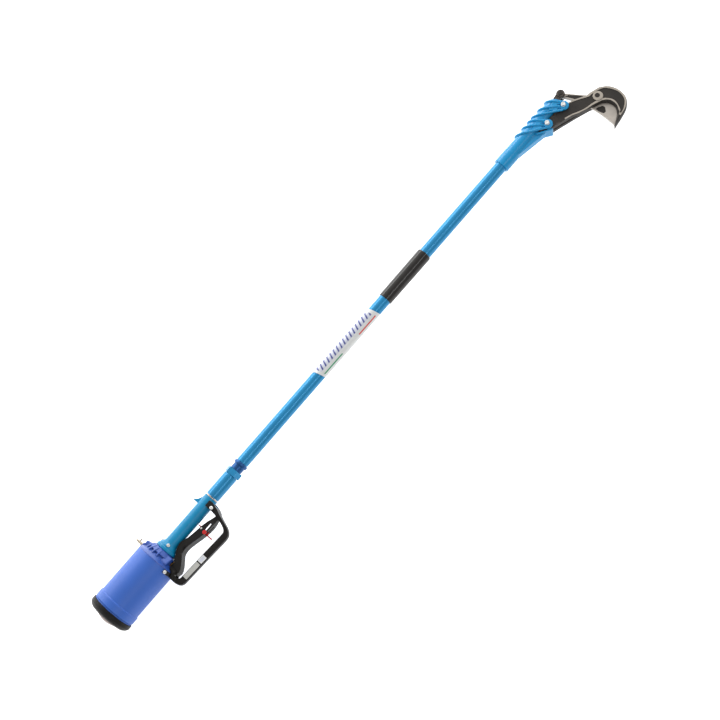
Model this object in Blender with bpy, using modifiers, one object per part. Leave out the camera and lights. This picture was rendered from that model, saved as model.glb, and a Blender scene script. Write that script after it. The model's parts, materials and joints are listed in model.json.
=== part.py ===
"""A pneumatic pole pruner at rest, blade closed, as separate solids. Metres, +Z up.

The pole's axis is X, with the cutting head at +X. The trigger guard is on the -Y side,
the thumb rest on +Y, and the hook's mouth opens towards -Y. The origin is on the pole's
axis, at the rear face of the air cylinder.
"""

from math import acos, atan2, cos, pi, radians, sin, sqrt

import bmesh
import bpy
from mathutils import Vector

# Clearances
GAP = 0.0003  # between two fixed faces that touch on the real tool
PLAY = 0.0004  # beside a piece that moves

# Air cylinder
BARREL_R = 0.0435
BARREL_BORE_R = 0.0400
BARREL_LENGTH = 0.1377
BEAD_R = 0.0452
BEAD_LENGTH = 0.0150
BEAD_OFFSET = 0.0035  # from the rear cap to the bead
CAP_R = 0.0463
CAP_LENGTH = 0.0165
CAP_LIP = 0.0040
CAP_CHAMFER = 0.0080
DOME_R = 0.0290
DOME_RISE = 0.0080
DOME_FLAT_R = 0.0090
PLUG_FLANGE = 0.0100
PISTON_LENGTH = 0.0180
PISTON_OFFSET = 0.0080  # from the rear plug to the piston
SEAL_SECTION_R = 0.0016

# Front casting of the cylinder
CASTING_LENGTH = 0.0245
CASTING_SPIGOT = 0.0130
CASTING_SHOULDER_R = 0.0425
CASTING_NECK_R = 0.0215
FIN_COUNT = 5
FIN_THICKNESS = 0.0024
FIN_TIP_R = 0.0330
VALVE_HOUSING_DROP = 0.0285
VALVE_HOUSING_HALF_WIDTH = 0.0150
INLET_BOSS_R = 0.0060
INLET_BOSS_TOP = 0.0438
TOWER_TOP = 0.0400
TOWER_HALF_WIDTH = 0.0100
TOWER_LENGTH = 0.0090
NIPPLE_LENGTH = 0.0172
NIPPLE_R = 0.0037
KEY_REACH = 0.0085

# Handle
HANDLE_LENGTH = 0.1330
HANDLE_R = 0.0146
HANDLE_FLANGE_R = 0.0220
HANDLE_FLANGE_LENGTH = 0.0075
HANDLE_CONE_LENGTH = 0.0070
THUMB_REST_HEIGHT = 0.0270
THUMB_REST_OFFSET = 0.0245  # from the front end of the handle to the rest's rear face
THUMB_REST_LENGTH = 0.0140
LUG_OFFSET = 0.0175  # from the front end of the handle to the lug's rear face
LUG_LENGTH = 0.0110
LUG_DROP = 0.0240
LUG_HALF_WIDTH = 0.0090
ROD_CHANNEL_R = 0.0076

# Coupling between the handle and the pole
WASHER_THICKNESS = 0.0020
SLEEVE_LENGTH = 0.0557
SLEEVE_R = 0.0146
NUT_LENGTH = 0.0127
NUT_FLATS = 0.0300
NECK_LENGTH = 0.0110
NECK_R = 0.0123
COLLAR_LENGTH = 0.0077
COLLAR_R = 0.0150
SPIGOT_R = 0.0108
REAR_SPIGOT_LENGTH = 0.0500
POLE_SPIGOT_LENGTH = 0.0300

# Pole, label and grip
POLE_R = 0.0130
POLE_BORE_R = 0.0114
POLE_LENGTH = 0.8380
LABEL_START = 0.2294  # from the pole's lower end
LABEL_LENGTH = 0.1670
LABEL_SLANT = 0.0060
LABEL_THICKNESS = 0.0003
GRIP_START = 0.4303
GRIP_LENGTH = 0.1223
GRIP_R = 0.0148
GRIP_TOP_R = 0.0154
GRIP_ROUND = 0.0016

# Rods inside
ROD_R = 0.0050
ROD_JOINT_OFFSET = 0.0250  # from the front end of the handle
ROD_JOINT_LENGTH = 0.0300
ROD_JOINT_R = 0.0070
GUIDE_R = 0.0108
GUIDE_LENGTH = 0.0140
GUIDE_COUNT = 2

# Head bracket
SOCKET_DEPTH = 0.0450
SOCKET_LIP_LENGTH = 0.0330
BRACKET_R = 0.0160
BRACKET_BORE_R = 0.0127
BRACKET_MOUTH_R = 0.0142
BRACKET_MOUTH_LENGTH = 0.0360
BRACKET_LENGTH = 0.1780
RIB_R = 0.0032
RIB_CREST_R = 0.0198
LOBE_R = 0.0105
LOBE_THICKNESS = 0.0042
BOLT_DROP = 0.0205
LAST_BOLT_SETBACK = 0.0022  # from the bracket's front end
BOLT_PITCH = 0.0515
BOLT_R = 0.0030
BOLT_HEAD_FLATS = 0.0090
BOLT_HEAD_LENGTH = 0.0050
GUSSET_HALF_WIDTH = 0.0090

# Cutting head, seen along Z
BLADE_THICKNESS = 0.0060
PLATE_THICKNESS = 0.0097
PIVOT_REACH = 0.0558  # from the bracket's front end
HOOK_REACH = 0.0352  # from the pivot to the hook's outer edge
TANG_REACH = 0.0230  # from the rear bolt to the plates' rear end
CHEEK_BOSS_R = 0.0153
BLADE_BOSS_R = 0.0130
PIVOT_DROP = 0.0610
PIVOT_R = 0.0049
PIVOT_BOSS_R = 0.0108
PIVOT_BOSS_RISE = 0.0008
BUSH_R = 0.0068
BLADE_ARM = 0.0750  # from the pivot to the tail pin
BLADE_ARM_ANGLE = radians(120.0)
TAIL_R = 0.0072
LINK_LENGTH = 0.0750
LINK_HEAD_R = 0.0090
LINK_NECK_HALF = 0.0055
LINK_NECK_HALF_WIDTH = 0.0075
LINK_BAR_HALF = 0.0046
LINK_HALF_WIDTH = 0.0062
LINK_HEAD_HALF_WIDTH = 0.0094
LINK_PIN_R = 0.0030
ROD_PIN_R = 0.0025
TONGUE_HALF_HEIGHT = 0.0098

# Trigger, guard and safety catch
GUARD_HALF_WIDTH = 0.0055
GUARD_BAR_HALF = 0.0066
GUARD_SECTION_CHAMFER = 0.0016
GUARD_DEPTH = 0.0700  # from the pole's axis to the middle of the bar at its rear end
GUARD_PAD_HALF_WIDTH = 0.0176
GUARD_WALL = 0.0032
POST_HALF_WIDTH = 0.0100
SADDLE_LENGTH = 0.0078
SADDLE_THICKNESS = 0.0037
SADDLE_HALF_ANGLE = radians(40.0)
GUARD_SCREW_HEAD_R = 0.0037
GUARD_SCREW_R = 0.0023
LEVER_HALF_WIDTH = 0.0110
LEVER_TIP_HALF_WIDTH = 0.0062
LEVER_WALL = 0.0025
LEVER_PIN_R = 0.0025
VALVE_R = 0.0083
VALVE_SPIGOT_R = 0.0062
PLUNGER_R = 0.0028
CATCH_THICKNESS = 0.0030
CATCH_BUTTON_R = 0.0043
CATCH_SLOT_HEIGHT = 0.0031

# Stations along X, worked out from the sizes above
CAP_X = DOME_RISE
CAP_FRONT_X = CAP_X + CAP_LENGTH
BARREL_X = CAP_X + CAP_LIP + GAP
BARREL_FRONT_X = BARREL_X + BARREL_LENGTH
PLUG_FRONT_X = BARREL_X + PLUG_FLANGE
PISTON_X = PLUG_FRONT_X + PISTON_OFFSET
CASTING_X = BARREL_FRONT_X + GAP
CASTING_FRONT_X = CASTING_X + CASTING_LENGTH
HANDLE_X = CASTING_FRONT_X + GAP
HANDLE_FRONT_X = HANDLE_X + HANDLE_LENGTH
WASHER_X = HANDLE_FRONT_X + GAP
SLEEVE_X = WASHER_X + WASHER_THICKNESS + GAP
NUT_X = SLEEVE_X + SLEEVE_LENGTH + GAP
NECK_X = NUT_X + NUT_LENGTH + GAP
COLLAR_X = NECK_X + NECK_LENGTH
POLE_X = COLLAR_X + COLLAR_LENGTH + GAP
POLE_FRONT_X = POLE_X + POLE_LENGTH
BRACKET_X = POLE_FRONT_X - SOCKET_DEPTH
BRACKET_FRONT_X = BRACKET_X + BRACKET_LENGTH
LAST_BOLT_X = BRACKET_FRONT_X - LAST_BOLT_SETBACK
BOLT_X = [LAST_BOLT_X - BOLT_PITCH, LAST_BOLT_X]
PIVOT = Vector((BRACKET_FRONT_X + PIVOT_REACH, -PIVOT_DROP))
TAIL_PIN = PIVOT + BLADE_ARM * Vector((cos(BLADE_ARM_ANGLE), sin(BLADE_ARM_ANGLE)))
ROD_EYE = Vector((TAIL_PIN.x - sqrt(LINK_LENGTH**2 - TAIL_PIN.y**2), 0.0))
BLADE_FACE = BLADE_THICKNESS / 2
PLATE_INNER = BLADE_FACE + GAP
PLATE_OUTER = PLATE_INNER + PLATE_THICKNESS
LOBE_INNER = PLATE_OUTER + GAP
LOBE_OUTER = LOBE_INNER + LOBE_THICKNESS

# Finishes: colour, roughness, metallic
FINISHES = {
    "blue_barrel": ((0.055, 0.150, 0.540), 0.32, 0.55),
    "blue_casting": ((0.045, 0.110, 0.480), 0.40, 0.35),
    "cyan_paint": ((0.015, 0.300, 0.560), 0.25, 0.10),
    "blue_anodised": ((0.030, 0.190, 0.370), 0.30, 0.70),
    "dark_blue_anodised": ((0.020, 0.090, 0.300), 0.30, 0.70),
    "black_rubber": ((0.020, 0.019, 0.018), 0.60, 0.0),
    "black_plastic": ((0.026, 0.024, 0.022), 0.42, 0.0),
    "black_gloss": ((0.020, 0.019, 0.018), 0.22, 0.0),
    "grey_aluminium": ((0.400, 0.360, 0.310), 0.38, 0.85),
    "pale_bronze": ((0.620, 0.500, 0.420), 0.35, 0.60),
    "nickel": ((0.560, 0.500, 0.410), 0.30, 0.90),
    "brass": ((0.560, 0.340, 0.110), 0.32, 0.95),
    "zinc": ((0.620, 0.610, 0.580), 0.30, 0.95),
    "steel": ((0.480, 0.470, 0.450), 0.28, 0.95),
    "dark_forging": ((0.050, 0.042, 0.036), 0.50, 0.60),
    "ground_blade": ((0.480, 0.440, 0.380), 0.34, 0.90),
    "red_plastic": ((0.720, 0.020, 0.020), 0.35, 0.0),
    "white_film": ((0.780, 0.780, 0.760), 0.45, 0.0),
    "grey_film": ((0.420, 0.410, 0.390), 0.50, 0.0),
    "seal_rubber": ((0.030, 0.030, 0.030), 0.55, 0.0),
    "nylon": ((0.700, 0.690, 0.640), 0.45, 0.0),
}

for old in list(bpy.data.objects):
    bpy.data.objects.remove(old, do_unlink=True)
SCENE = bpy.context.scene
PARTS = bpy.data.collections.new("pneumatic_pole_pruner")
CUTTERS = bpy.data.collections.new("cutters")
SCENE.collection.children.link(PARTS)
SCENE.collection.children.link(CUTTERS)
CUTTERS.hide_render = True


def material(finish):
    """The Principled material of one finish, made once."""
    found = bpy.data.materials.get(finish)
    if found:
        return found
    colour, roughness, metallic = FINISHES[finish]
    made = bpy.data.materials.new(finish)
    made.use_nodes = True
    shader = made.node_tree.nodes["Principled BSDF"]
    shader.inputs["Base Color"].default_value = (*colour, 1.0)
    shader.inputs["Roughness"].default_value = roughness
    shader.inputs["Metallic"].default_value = metallic
    made.diffuse_color = (*colour, 1.0)
    return made


def place(name, mesh, finish=None):
    """An object of the mesh: a piece of the tool if it has a finish, and otherwise a cutter."""
    obj = bpy.data.objects.new(name, mesh)
    if finish:
        PARTS.objects.link(obj)
        mesh.materials.clear()
        mesh.materials.append(material(finish))
    else:
        CUTTERS.objects.link(obj)
        obj.hide_render = True
        obj.display_type = "WIRE"
    return obj


def from_bmesh(name, bm, finish):
    bmesh.ops.recalc_face_normals(bm, faces=bm.faces)
    mesh = bpy.data.meshes.new(name)
    bm.to_mesh(mesh)
    bm.free()
    return place(name, mesh, finish)


def box(name, low, high, finish=None, bevel=0.0):
    """A box between two corners, with its edges rounded by bevel."""
    low = Vector(low)
    high = Vector(high)
    bm = bmesh.new()
    bmesh.ops.create_cube(bm, size=1.0)
    bmesh.ops.scale(bm, vec=high - low, verts=bm.verts)
    bmesh.ops.translate(bm, vec=(low + high) / 2, verts=bm.verts)
    obj = from_bmesh(name, bm, finish)
    if bevel:
        rounded = obj.modifiers.new("rounded", "BEVEL")
        rounded.width = bevel
        rounded.segments = 2
    return obj


def turn_to(obj, axis):
    """Turns an object from Z to the axis X, Y or -Y."""
    turns = {"X": (0, pi / 2, 0), "Y": (-pi / 2, 0, 0), "-Y": (pi / 2, 0, 0), "Z": (0, 0, 0)}
    obj.rotation_euler = turns[axis]
    return obj


def rod(name, radius, start, length, axis="Z", finish=None, sides=20):
    """A cylinder from the point start along the axis."""
    bm = bmesh.new()
    bmesh.ops.create_cone(
        bm, cap_ends=True, segments=sides, radius1=radius, radius2=radius, depth=length
    )
    bmesh.ops.translate(bm, vec=(0, 0, length / 2), verts=bm.verts)
    obj = from_bmesh(name, bm, finish)
    obj.location = start
    for face in obj.data.polygons:
        face.use_smooth = len(face.vertices) == 4
    return turn_to(obj, axis)


def turned(name, outline, finish=None, steps=32, axis="X", start=(0, 0, 0)):
    """A turned piece. Its outline is (along, radius) points, rising along the outer side."""
    points = [Vector((radius, 0, along)) for along, radius in reversed(outline)]
    edges = [(n, n + 1) for n in range(len(points) - 1)]
    if min(outline[0][1], outline[-1][1]) > 0:
        edges.append((len(points) - 1, 0))
    mesh = bpy.data.meshes.new(name)
    mesh.from_pydata(points, edges, [])
    obj = place(name, mesh, finish)
    screw = obj.modifiers.new("turned", "SCREW")
    screw.steps = steps
    screw.render_steps = steps
    screw.use_merge_vertices = True
    screw.merge_threshold = 0.00001
    screw.use_smooth_shade = True
    obj.location = start
    return turn_to(obj, axis)


def ring(name, start, length, outer, bore, finish=None, steps=32, chamfer=0.0):
    """A plain ring on the X axis."""
    outline = [
        (start, outer - chamfer),
        (start + chamfer, outer),
        (start + length - chamfer, outer),
        (start + length, outer - chamfer),
        (start + length, bore),
        (start, bore),
    ]
    if not chamfer:
        outline = outline[1:3] + outline[4:]
    return turned(name, outline, finish, steps)


def arc(centre, radius, first, last, count):
    """Points of an arc, with its angles in degrees."""
    angles = [radians(first + (last - first) * n / count) for n in range(count + 1)]
    return [Vector(centre) + radius * Vector((cos(a), sin(a))) for a in angles]


def smooth(points, steps):
    """Points of a smooth curve through the given ones."""
    points = [Vector(p) for p in points]
    ends = [2 * points[0] - points[1]] + points + [2 * points[-1] - points[-2]]
    found = []
    for before, here, after, beyond in zip(ends, ends[1:], ends[2:], ends[3:]):
        for n in range(steps):
            t = n / steps
            found.append(
                0.5
                * (
                    2 * here
                    + (after - before) * t
                    + (2 * before - 5 * here + 4 * after - beyond) * t * t
                    + (3 * here - before - 3 * after + beyond) * t**3
                )
            )
    return found + [points[-1]]


def mesh_of_curve(obj, name, finish):
    """The curve as a welded mesh object, in its place."""
    bpy.context.view_layer.update()
    graph = bpy.context.evaluated_depsgraph_get()
    mesh = bpy.data.meshes.new_from_object(obj.evaluated_get(graph))
    matrix = obj.matrix_world.copy()
    bpy.data.objects.remove(obj)
    bm = bmesh.new()
    bm.from_mesh(mesh)
    bpy.data.meshes.remove(mesh)
    bmesh.ops.remove_doubles(bm, verts=bm.verts, dist=0.000005)
    made = from_bmesh(name, bm, finish)
    made.matrix_world = matrix
    return made


def prism(name, outline, low, high, finish=None, axis="Z"):
    """A flat outline between two places on an axis: x, y points for Z, y, z for X and x, z for -Y."""
    curve = bpy.data.curves.new(name, "CURVE")
    curve.dimensions = "2D"
    curve.fill_mode = "BOTH"
    curve.extrude = (high - low) / 2
    spline = curve.splines.new("POLY")
    spline.points.add(len(outline) - 1)
    for point, (first, second) in zip(spline.points, outline):
        point.co = (first, second, 0, 1)
    spline.use_cyclic_u = True
    obj = bpy.data.objects.new(name, curve)
    SCENE.collection.objects.link(obj)
    if axis == "X":
        obj.rotation_euler = (pi / 2, 0, pi / 2)
        obj.location = ((low + high) / 2, 0, 0)
    elif axis == "-Y":
        obj.rotation_euler = (pi / 2, 0, 0)
        obj.location = (0, (low + high) / 2, 0)
    else:
        obj.location = (0, 0, (low + high) / 2)
    return mesh_of_curve(obj, name, finish)


def tube(name, points, radius, finish=None, resolution=1):
    """A round bar along the points."""
    curve = bpy.data.curves.new(name, "CURVE")
    curve.dimensions = "3D"
    curve.bevel_depth = radius
    curve.bevel_resolution = resolution
    curve.use_fill_caps = True
    spline = curve.splines.new("POLY")
    spline.points.add(len(points) - 1)
    for point, place_at in zip(spline.points, points):
        point.co = (*place_at, 1)
    obj = bpy.data.objects.new(name, curve)
    SCENE.collection.objects.link(obj)
    return mesh_of_curve(obj, name, finish)


def cut(obj, *tools):
    for tool in tools:
        modifier = obj.modifiers.new("cut " + tool.name, "BOOLEAN")
        modifier.operation = "DIFFERENCE"
        modifier.object = tool


def join(obj, *tools):
    for tool in tools:
        modifier = obj.modifiers.new("join " + tool.name, "BOOLEAN")
        modifier.operation = "UNION"
        modifier.object = tool


def pivot_at(name, x, y, z=0.0):
    """An empty on a joint's axis."""
    empty = bpy.data.objects.new(name, None)
    empty.empty_display_size = 0.01
    empty.location = (x, y, z)
    PARTS.objects.link(empty)
    return empty


def carry(empty, *pieces):
    """Hangs the pieces on the empty, where they are."""
    for piece in pieces:
        piece.parent = empty
        piece.location = piece.location - empty.location


def cutters(name, pieces):
    """One cutter of several separate solids."""
    bpy.context.view_layer.update()
    bm = bmesh.new()
    for piece in pieces:
        piece.data.transform(piece.matrix_world)
        bm.from_mesh(piece.data)
        bpy.data.objects.remove(piece)
    mesh = bpy.data.meshes.new(name)
    bm.to_mesh(mesh)
    bm.free()
    return place(name, mesh)


def hexagon(flats, turn=0.0):
    corner = flats / sqrt(3)
    return [(corner * cos(radians(turn + 60 * n)), corner * sin(radians(turn + 60 * n))) for n in range(6)]


# Air cylinder


def rear_end_plug():
    rise = [DOME_FLAT_R + (DOME_R - DOME_FLAT_R) * n / 5 for n in range(6)]
    span = DOME_R**2 - DOME_FLAT_R**2
    dome = [(DOME_RISE * (r**2 - DOME_FLAT_R**2) / span, r) for r in rise]
    flange_r = BARREL_BORE_R - GAP
    back = CAP_X + CAP_LIP + GAP
    groove = (back + PLUG_FRONT_X) / 2
    outline = [(0, 0)] + dome + [(back, DOME_R), (back, flange_r)]
    outline += [(groove - SEAL_SECTION_R, flange_r), (groove - SEAL_SECTION_R, flange_r - 2 * SEAL_SECTION_R)]
    outline += [(groove + SEAL_SECTION_R, flange_r - 2 * SEAL_SECTION_R), (groove + SEAL_SECTION_R, flange_r)]
    outline += [(PLUG_FRONT_X, flange_r), (PLUG_FRONT_X, 0)]
    turned("rear_end_plug", outline, "grey_aluminium", 32)
    seal("rear_plug_seal", groove)


def seal_outline(along, radius, section):
    return [(along - section * cos(a), radius + section * sin(a)) for a in [2 * pi * n / 6 for n in range(6)]]


def seal(name, along):
    """A round seal in a groove, against the cylinder's bore."""
    section = SEAL_SECTION_R - GAP
    radius = BARREL_BORE_R - GAP - section
    return turned(name, seal_outline(along, radius, section), "seal_rubber", 24)


def rear_cap():
    bore = BARREL_R + GAP
    outline = [
        (CAP_X, DOME_R + GAP),
        (CAP_X, CAP_R - CAP_CHAMFER),
        (CAP_X + CAP_CHAMFER * 0.45, CAP_R - CAP_CHAMFER * 0.35),
        (CAP_X + CAP_CHAMFER, CAP_R),
        (CAP_FRONT_X, CAP_R),
        (CAP_FRONT_X, bore),
        (CAP_X + CAP_LIP, bore),
        (CAP_X + CAP_LIP, DOME_R + GAP),
    ]
    turned("rear_cap", outline, "black_rubber", 48)


def barrel():
    bead = CAP_FRONT_X + BEAD_OFFSET
    ramp = 0.0012
    outline = [
        (BARREL_X, BARREL_BORE_R),
        (BARREL_X, BARREL_R),
        (bead - ramp, BARREL_R),
        (bead, BEAD_R),
        (bead + BEAD_LENGTH, BEAD_R),
        (bead + BEAD_LENGTH + ramp, BARREL_R),
        (BARREL_FRONT_X - 2 * ramp, BARREL_R),
        (BARREL_FRONT_X, BARREL_R - ramp),
        (BARREL_FRONT_X, BARREL_BORE_R),
    ]
    tube_of_cylinder = turned("cylinder_barrel", outline, "blue_barrel", 48)
    cut(tube_of_cylinder, guard_screw_holes("barrel_screw_holes"))


def piston_group():
    axis = pivot_at("piston_axis", PISTON_X, 0)
    outer = BARREL_BORE_R - PLAY
    front = PISTON_X + PISTON_LENGTH
    groove = PISTON_X + PISTON_LENGTH / 2
    depth = outer - 2 * SEAL_SECTION_R
    outline = [(PISTON_X, 0), (PISTON_X, outer)]
    outline += [(groove - SEAL_SECTION_R, outer), (groove - SEAL_SECTION_R, depth)]
    outline += [(groove + SEAL_SECTION_R, depth), (groove + SEAL_SECTION_R, outer)]
    socket = PISTON_X + PISTON_LENGTH / 2
    outline += [(front, outer), (front, ROD_R + GAP), (socket, ROD_R + GAP), (socket, 0)]
    piston = turned("piston", outline, "grey_aluminium", 32)
    piston_seal = seal("piston_seal", groove)
    joint_x = HANDLE_FRONT_X + ROD_JOINT_OFFSET
    joint_end = joint_x + ROD_JOINT_LENGTH
    start = socket + GAP
    piston_rod = rod("piston_rod", ROD_R, (start, 0, 0), joint_x + ROD_JOINT_LENGTH / 2 - GAP - start, "X", "steel", 16)
    coupler = ring("rod_joint", joint_x, ROD_JOINT_LENGTH, ROD_JOINT_R, ROD_R + GAP, "zinc", 16)
    pull_start = joint_x + ROD_JOINT_LENGTH / 2 + GAP
    tongue_back = ROD_EYE.x - 0.016
    pull_rod = rod("pull_rod", ROD_R, (pull_start, 0, 0), tongue_back + 0.002 - pull_start, "X", "steel", 16)
    join(pull_rod, rod_tongue(tongue_back))
    guides = []
    for n in range(GUIDE_COUNT):
        at = joint_end + (POLE_FRONT_X - joint_end) * (n + 0.6) / (GUIDE_COUNT + 0.2)
        guides.append(ring(f"rod_guide_{n + 1}", at, GUIDE_LENGTH, GUIDE_R, ROD_R + GAP, "nylon", 16))
    carry(axis, piston, piston_seal, piston_rod, coupler, pull_rod, *guides)


def rod_tongue(back):
    """The flat eye at the end of the pull rod, with its upright slot for the link's rear pin."""
    half = BLADE_FACE - PLAY / 2
    front = ROD_EYE.x + 0.0072
    outline = [
        (back, -ROD_R),
        (back + 0.006, -TONGUE_HALF_HEIGHT),
        (front, -TONGUE_HALF_HEIGHT),
        (front, TONGUE_HALF_HEIGHT),
        (back + 0.006, TONGUE_HALF_HEIGHT),
        (back, ROD_R),
    ]
    tongue = prism("rod_tongue", outline, -half, half)
    reach = ROD_PIN_R + 0.0009
    slot = TONGUE_HALF_HEIGHT - 0.0022
    cut(tongue, box("tongue_slot", (ROD_EYE.x - reach, -slot, -0.01), (ROD_EYE.x + reach, slot, 0.01)))
    return tongue


# Front casting, inlet and valve

VALVE_X = CASTING_X + 0.0117
INLET_X = CASTING_X + 0.0028


def guard_screw_points():
    """Where the guard's two rear screws go, as angles about X from +Z towards -Y."""
    lean = radians(90) - SADDLE_HALF_ANGLE + radians(3.0)
    return [lean, pi - lean]


def radial(angle, radius):
    """The point at a radius, at an angle about X from +Z towards -Y."""
    return Vector((0, -radius * sin(angle), radius * cos(angle)))


def radial_rod(name, radius, along, angle, inner, outer, finish=None, sides=12):
    """A cylinder that points away from the X axis."""
    made = rod(name, radius, (0, 0, 0), outer - inner, "Z", finish, sides)
    made.rotation_euler = (angle, 0, 0)
    made.location = Vector((along, 0, 0)) + radial(angle, inner)
    return made


SADDLE_X = BARREL_FRONT_X - SADDLE_LENGTH + 0.0008
SADDLE_SCREW_X = SADDLE_X + SADDLE_LENGTH / 2 - 0.0002
SADDLE_INNER_R = BARREL_R + GAP
SADDLE_OUTER_R = SADDLE_INNER_R + SADDLE_THICKNESS
SCREW_TIP_R = BARREL_BORE_R - 0.0060


def guard_screw_holes(name):
    holes = []
    for angle in guard_screw_points():
        holes.append(
            radial_rod("hole", GUARD_SCREW_R + GAP, SADDLE_SCREW_X, angle, SCREW_TIP_R - GAP, SADDLE_OUTER_R + 0.01)
        )
    return cutters(name, holes)


def front_casting():
    spigot_r = BARREL_BORE_R - GAP
    neck = CASTING_NECK_R
    bush_back = CASTING_X - CASTING_SPIGOT
    handle_spigot = 0.0190
    nose_r = ROD_CHANNEL_R + 0.0034
    outline = [
        (bush_back, ROD_CHANNEL_R + 0.0022),
        (bush_back, spigot_r),
        (CASTING_X, spigot_r),
        (CASTING_X, CASTING_SHOULDER_R),
        (CASTING_X + 0.0018, CASTING_SHOULDER_R),
        (CASTING_X + 0.0085, CASTING_SHOULDER_R - 0.0092),
        (CASTING_X + 0.0130, neck + 0.0056),
        (CASTING_X + 0.0160, neck + 0.0017),
        (CASTING_X + 0.0190, neck),
        (CASTING_FRONT_X, neck),
        (CASTING_FRONT_X, nose_r),
        (CASTING_FRONT_X + handle_spigot, nose_r),
        (CASTING_FRONT_X + handle_spigot, ROD_CHANNEL_R + 0.0022),
    ]
    casting = turned("front_casting", outline, "blue_casting", 40)
    fins = []
    for side in (0, 1):
        for n in range(FIN_COUNT):
            angle = radians(8.0 - 19.0 * n)
            fins.append(casting_fin(pi - angle if side else angle))
    for fin in fins:
        join(casting, fin)
    housing = box(
        "valve_housing",
        (CASTING_X + 0.0010, -VALVE_HOUSING_DROP, -VALVE_HOUSING_HALF_WIDTH),
        (CASTING_FRONT_X - 0.0014, -0.0115, VALVE_HOUSING_HALF_WIDTH),
        bevel=0.0080,
    )
    tower = box(
        "pilot_tower",
        (CASTING_X + 0.0085, 0.0150, -TOWER_HALF_WIDTH),
        (CASTING_X + 0.0085 + TOWER_LENGTH, TOWER_TOP, TOWER_HALF_WIDTH),
        bevel=0.0028,
    )
    boss = box(
        "inlet_boss",
        (CASTING_X + 0.0002, 0.0150, -INLET_BOSS_R),
        (CASTING_X + 0.0092, INLET_BOSS_TOP, INLET_BOSS_R),
        bevel=0.0022,
    )
    join(casting, housing, tower, boss)
    valve_bore = rod("valve_bore", VALVE_SPIGOT_R + GAP, (VALVE_X, -0.05, 0), 0.05 - 0.0140, "Y")
    valve_room = rod("valve_room", VALVE_R + 0.0008, (VALVE_X, -0.06, 0), 0.06 - VALVE_HOUSING_DROP, "Y", sides=28)
    inlet_bore = rod("inlet_bore", NIPPLE_R * 0.7 + GAP, (INLET_X, INLET_BOSS_TOP - 0.008, 0), 0.02, "Y")
    cut(casting, valve_room, valve_bore, inlet_bore, guard_screw_holes("casting_screw_holes"))
    bush_length = CASTING_FRONT_X - bush_back - 0.004
    ring("rod_bush", bush_back, bush_length, ROD_CHANNEL_R + 0.0022 - GAP, ROD_R + GAP, "brass", 24)
    seal_at = bush_back + bush_length + 0.003
    ring("rod_seal", seal_at, 0.0040, ROD_CHANNEL_R + 0.0022 - GAP, ROD_R + GAP, "seal_rubber", 24)


def casting_fin(angle):
    """One gusset fin between the casting's cone and its neck, at an angle from +Z towards -Y."""
    outline = [
        (CASTING_X + 0.0060, 0.0120),
        (CASTING_X + 0.0060, CASTING_SHOULDER_R - 0.0090),
        (CASTING_X + 0.0090, FIN_TIP_R + 0.0010),
        (CASTING_X + 0.0150, FIN_TIP_R - 0.0015),
        (CASTING_X + 0.0225, CASTING_NECK_R + 0.0042),
        (CASTING_FRONT_X - 0.0008, CASTING_NECK_R + 0.0010),
        (CASTING_FRONT_X - 0.0008, 0.0120),
    ]
    fin = prism("fin", [(x, -r) for x, r in outline], -FIN_THICKNESS / 2, FIN_THICKNESS / 2)
    fin.rotation_euler = (angle - pi / 2, 0, 0)
    return fin


def air_nipple():
    base = INLET_BOSS_TOP + GAP
    top = base + NIPPLE_LENGTH
    r = NIPPLE_R
    outline = [
        (base - 0.0070, 0.0012),
        (base - 0.0070, r * 0.7),
        (base, r * 0.7),
        (base, r),
        (base + 0.0055, r),
        (base + 0.0062, r * 0.82),
        (base + 0.0118, r * 0.82),
        (base + 0.0124, r * 0.60),
        (top - 0.0040, r * 0.60),
        (top - 0.0030, r * 0.74),
        (top - 0.0010, r * 0.70),
        (top, r * 0.50),
        (top, 0.0012),
    ]
    nipple = turned("air_nipple", outline, "nickel", 20, "Y", (INLET_X, 0, 0))
    key_y = base + 0.0090
    stem = 0.0009
    cut(nipple, rod("key_bore", stem + GAP, (INLET_X + r * 0.45, key_y, 0), 0.01, "X", sides=12))
    axis = pivot_at("tap_axis", INLET_X, key_y)
    key = rod("inlet_tap_key", stem, (INLET_X + r * 0.45 + GAP, key_y, 0), KEY_REACH - r * 0.45 - GAP, "X", "nickel", 12)
    wing = box(
        "key_wing",
        (INLET_X + KEY_REACH - 0.0032, key_y - 0.0013, -0.0034),
        (INLET_X + KEY_REACH, key_y + 0.0013, 0.0034),
        bevel=0.0005,
    )
    join(key, wing)
    carry(axis, key)


def pilot_valve():
    top = -VALVE_HOUSING_DROP - GAP
    flange = 0.0032
    spigot = 0.0120
    outline = [
        (0.0, PLUNGER_R + PLAY),
        (0.0, VALVE_R - 0.0010),
        (0.0010, VALVE_R),
        (flange, VALVE_R),
        (flange, VALVE_SPIGOT_R),
        (flange + spigot, VALVE_SPIGOT_R),
        (flange + spigot, PLUNGER_R + PLAY),
    ]
    bottom = top - flange
    turned("valve_body", outline, "brass", 24, "Y", (VALVE_X, bottom, 0))
    axis = pivot_at("plunger_axis", VALVE_X, bottom)
    stem_top = bottom + flange + 0.0045
    head = LEVER_TOP_Y + GAP
    plunger = rod("valve_plunger", PLUNGER_R, (VALVE_X, head, 0), stem_top - head, "Y", "steel", 16)
    carry(axis, plunger)
    spring_start = stem_top + 0.0012
    spring_end = bottom + flange + spigot - GAP
    spring = rod("valve_spring", PLUNGER_R - 0.0004, (VALVE_X, spring_start, 0), spring_end - spring_start, "Y", "steel", 12)
    cut(spring, rod("spring_bore", PLUNGER_R - 0.0013, (VALVE_X, spring_start - 0.01, 0), 0.04, "Y", sides=12))


# Handle and coupling


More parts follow.
